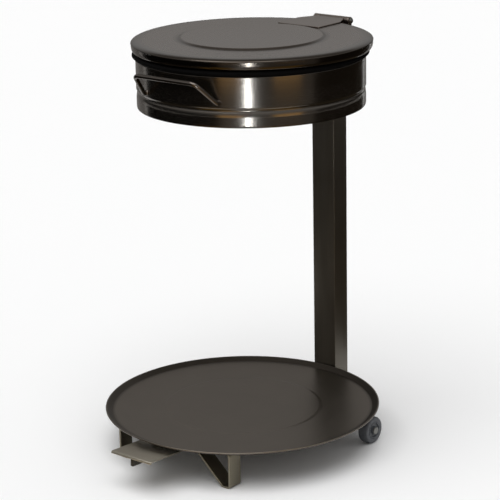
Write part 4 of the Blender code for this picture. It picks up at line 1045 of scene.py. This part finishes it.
# Cloths that polished steel mirrors: azimuths in degrees from the camera, edges, a tone, and a strength
# where it isn't 1
CLOTHS = {
    "cloth_left": (-125, -30, SIDE_WALL, "#191815"),
    "cloth_warm_left": (-30, -8, FRONT_WALL, "#ffcc80", 1.5),
    "cloth_front": (-8, 20, FRONT_WALL, "#75716c"),
    "cloth_warm_right": (20, 46, FRONT_WALL, "#ffcc80", 1.5),
    "cloth_front_right": (46, 62, FRONT_WALL, "#75716c"),
    "cloth_right": (62, 146, SIDE_WALL, "#302a22"),
    "cloth_back": (146, 235, BACK_WALL, "#8c8986"),
    "ceiling_back": (90, 270, BACK_CEILING, "#8c8a87"),
    "ceiling_front": (-90, 90, FRONT_CEILING, "#f4f4f4"),
    "floor_far_left": (-125, -30, FAR_FLOOR, "#191815"),
    "floor_far_front": (-30, 62, FAR_FLOOR, "#75716c"),
    "floor_far_right": (62, 146, FAR_FLOOR, "#302a22"),
    # A dark disc under the tray, seen only in reflections: painted shade where the floor lies under the tray
    "painted_shade_under": (-180, 180, UNDER_FLOOR, "#26221c"),
    "floor_left": (-125, -55, NEAR_FLOOR, "#4a443b"),
    "floor_warm_left": (-55, -19, NEAR_FLOOR, "#a8843c"),
    "floor_pale": (-19, 5, NEAR_FLOOR, "#e6e6e6"),
    "floor_warm_right": (5, 50, NEAR_FLOOR, "#a8843c"),
    "floor_right": (50, 146, NEAR_FLOOR, "#4f4638"),
}
BACKDROP = (-180, 180, FAR_WALL, "#fcfcfc")
CLOTH_STEPS = 24


def white_floor():
    """A large flat floor of one near white tone, far wider than any view of the object."""
    material, tree = empty_finish("white_floor")
    paint = put(tree, "ShaderNodeBsdfDiffuse", None, {"Color": linear(FLOOR_WHITE)})
    put(tree, "ShaderNodeOutputMaterial", None, {"Surface": paint.outputs[0]})
    side = np.array((-FLOOR_HALF, FLOOR_HALF))
    x, y = np.meshgrid(side, side, indexing="ij")
    corners = np.stack([x, y, np.zeros_like(x)], axis=-1).reshape(-1, 3)
    mesh = bpy.data.meshes.new("floor")
    mesh.from_pydata(corners.tolist(), [], [(0, 2, 3, 1)])
    mesh.materials.append(material)
    floor = placed("floor", mesh)


def cloth(name, first, last, edges, tone, strength=1.0):
    """A plain cloth of one tone: the part of a cone about the ring's axis between two azimuths and two
    circles. It neither takes light from the object nor gives it any, apart from what is seen of it."""
    material, tree = empty_finish(name)
    plain = put(tree, "ShaderNodeEmission", None, {"Color": linear(tone), "Strength": strength})
    put(tree, "ShaderNodeOutputMaterial", None, {"Surface": plain.outputs[0]})
    turn = np.radians(CAMERA_AZIMUTH - 90 + np.linspace(first, last, CLOTH_STEPS + 1))[:, None]
    away, height = np.array(edges).T
    level = np.broadcast_to(height, (CLOTH_STEPS + 1, 2))
    points = np.stack([away * np.cos(turn), RING_Y + away * np.sin(turn), level], axis=-1)
    corner = 2 * np.arange(CLOTH_STEPS)
    faces = np.stack([corner, corner + 2, corner + 3, corner + 1], axis=-1)
    mesh = bpy.data.meshes.new(name)
    mesh.from_pydata(points.reshape(-1, 3).tolist(), [], faces.tolist())
    mesh.materials.append(material)
    hung = placed(name, mesh)
    hung.visible_diffuse = False
    hung.visible_shadow = False
    hung.visible_transmission = False
    return hung


def dark_room():
    """The cloths round the object, which only mirroring surfaces see, and a white one far behind, which
    only the camera sees."""
    for name, shape in CLOTHS.items():
        cloth(name, *shape).visible_camera = False
    cloth("backdrop", *BACKDROP).visible_glossy = False


def lamp(name, kind, energy, place, aim, **shape):
    """A lamp at a place that looks at a point and stays out of sight."""
    light = bpy.data.lights.new(name, kind)
    light.energy = energy
    for setting, value in shape.items():
        setattr(light, setting, value)
    holder = placed(name, light)
    holder.location = place
    holder.rotation_euler = (Vector(aim) - Vector(place)).to_track_quat("-Z", "Y").to_euler()
    holder.visible_camera = False
    return holder


def photo_camera():
    """The camera: it looks at a point on the object's upright from an azimuth, elevation and distance,
    then rolls. It gives the direction from that point back to itself."""
    azimuth = math.radians(CAMERA_AZIMUTH)
    elevation = math.radians(CAMERA_ELEVATION)
    roll = math.radians(CAMERA_ROLL)
    aside = Vector((math.cos(azimuth), math.sin(azimuth), 0.0))
    level = Vector((math.sin(azimuth), -math.cos(azimuth), 0.0))
    back = level * math.cos(elevation) + Vector(Z_AXIS) * math.sin(elevation)
    place = aside * CAMERA_ASIDE + Vector((0.0, TRAY_Y, CAMERA_AIM)) + back * CAMERA_DISTANCE
    over = back.cross(aside)
    right = math.cos(roll) * aside + math.sin(roll) * over
    up = math.cos(roll) * over - math.sin(roll) * aside
    data = bpy.data.cameras.new("photo_camera")
    data.sensor_width = SENSOR
    data.lens = SENSOR * FOCAL_PIXELS / FRAME_PIXELS
    data.clip_end = CAMERA_SIGHT
    camera = placed("photo_camera", data)
    turn = Matrix((right, up, back)).transposed().to_4x4()
    camera.matrix_world = Matrix.Translation(place) @ turn
    bpy.context.scene.camera = camera
    return back


def studio_light(back):
    """A plain grey surround that lightens from its horizon to its top, a wide soft sun from above the camera
    and a low upright strip lamp before the object."""
    world = bpy.data.worlds.new("studio")
    world.use_nodes = True
    tree = world.node_tree
    tree.nodes.clear()
    way = put(tree, "ShaderNodeTexCoord").outputs["Generated"]
    height = put(tree, "ShaderNodeSeparateXYZ", None, {0: way}).outputs["Z"]
    greys = {0: height, COLOUR_A: linear(HORIZON_GREY), COLOUR_B: linear(ZENITH_GREY)}
    sky = put(tree, "ShaderNodeMix", {"data_type": "RGBA"}, greys).outputs[COLOUR_OUT]
    surround = put(tree, "ShaderNodeBackground", None, {"Color": sky, "Strength": 1.0})
    put(tree, "ShaderNodeOutputWorld", None, {"Surface": surround.outputs[0]})
    bpy.context.scene.world = world
    level = Vector((back.x, back.y, 0.0)).normalized()
    aside = Vector((-level.y, level.x, 0.0))
    near, right, up = SUN_PLACE
    sun_place = level * near + aside * right + Vector(Z_AXIS) * up
    lamp("sun", "SUN", SUN_STRENGTH, sun_place, (0.0, 0.0, 0.0), angle=SUN_ANGLE)
    toward = Matrix.Rotation(math.radians(STRIP_AZIMUTH), 3, "Z") @ level
    strip_aim = Vector((0.0, RING_Y, STRIP_AIM))
    strip_place = Vector((0.0, RING_Y, STRIP_HEIGHT)) + toward * STRIP_DISTANCE
    shape = {"shape": "RECTANGLE", "size": STRIP_SIZE[0], "size_y": STRIP_SIZE[1]}
    shape |= {"color": STRIP_TONE, "spread": STRIP_SPREAD}
    strip_lamp = lamp("strip_lamp", "AREA", STRIP_POWER, strip_place, strip_aim, **shape)
    strip_lamp.visible_diffuse = False


white_floor()
dark_room()
studio_light(photo_camera())
bpy.context.scene.view_settings.view_transform = "Standard"
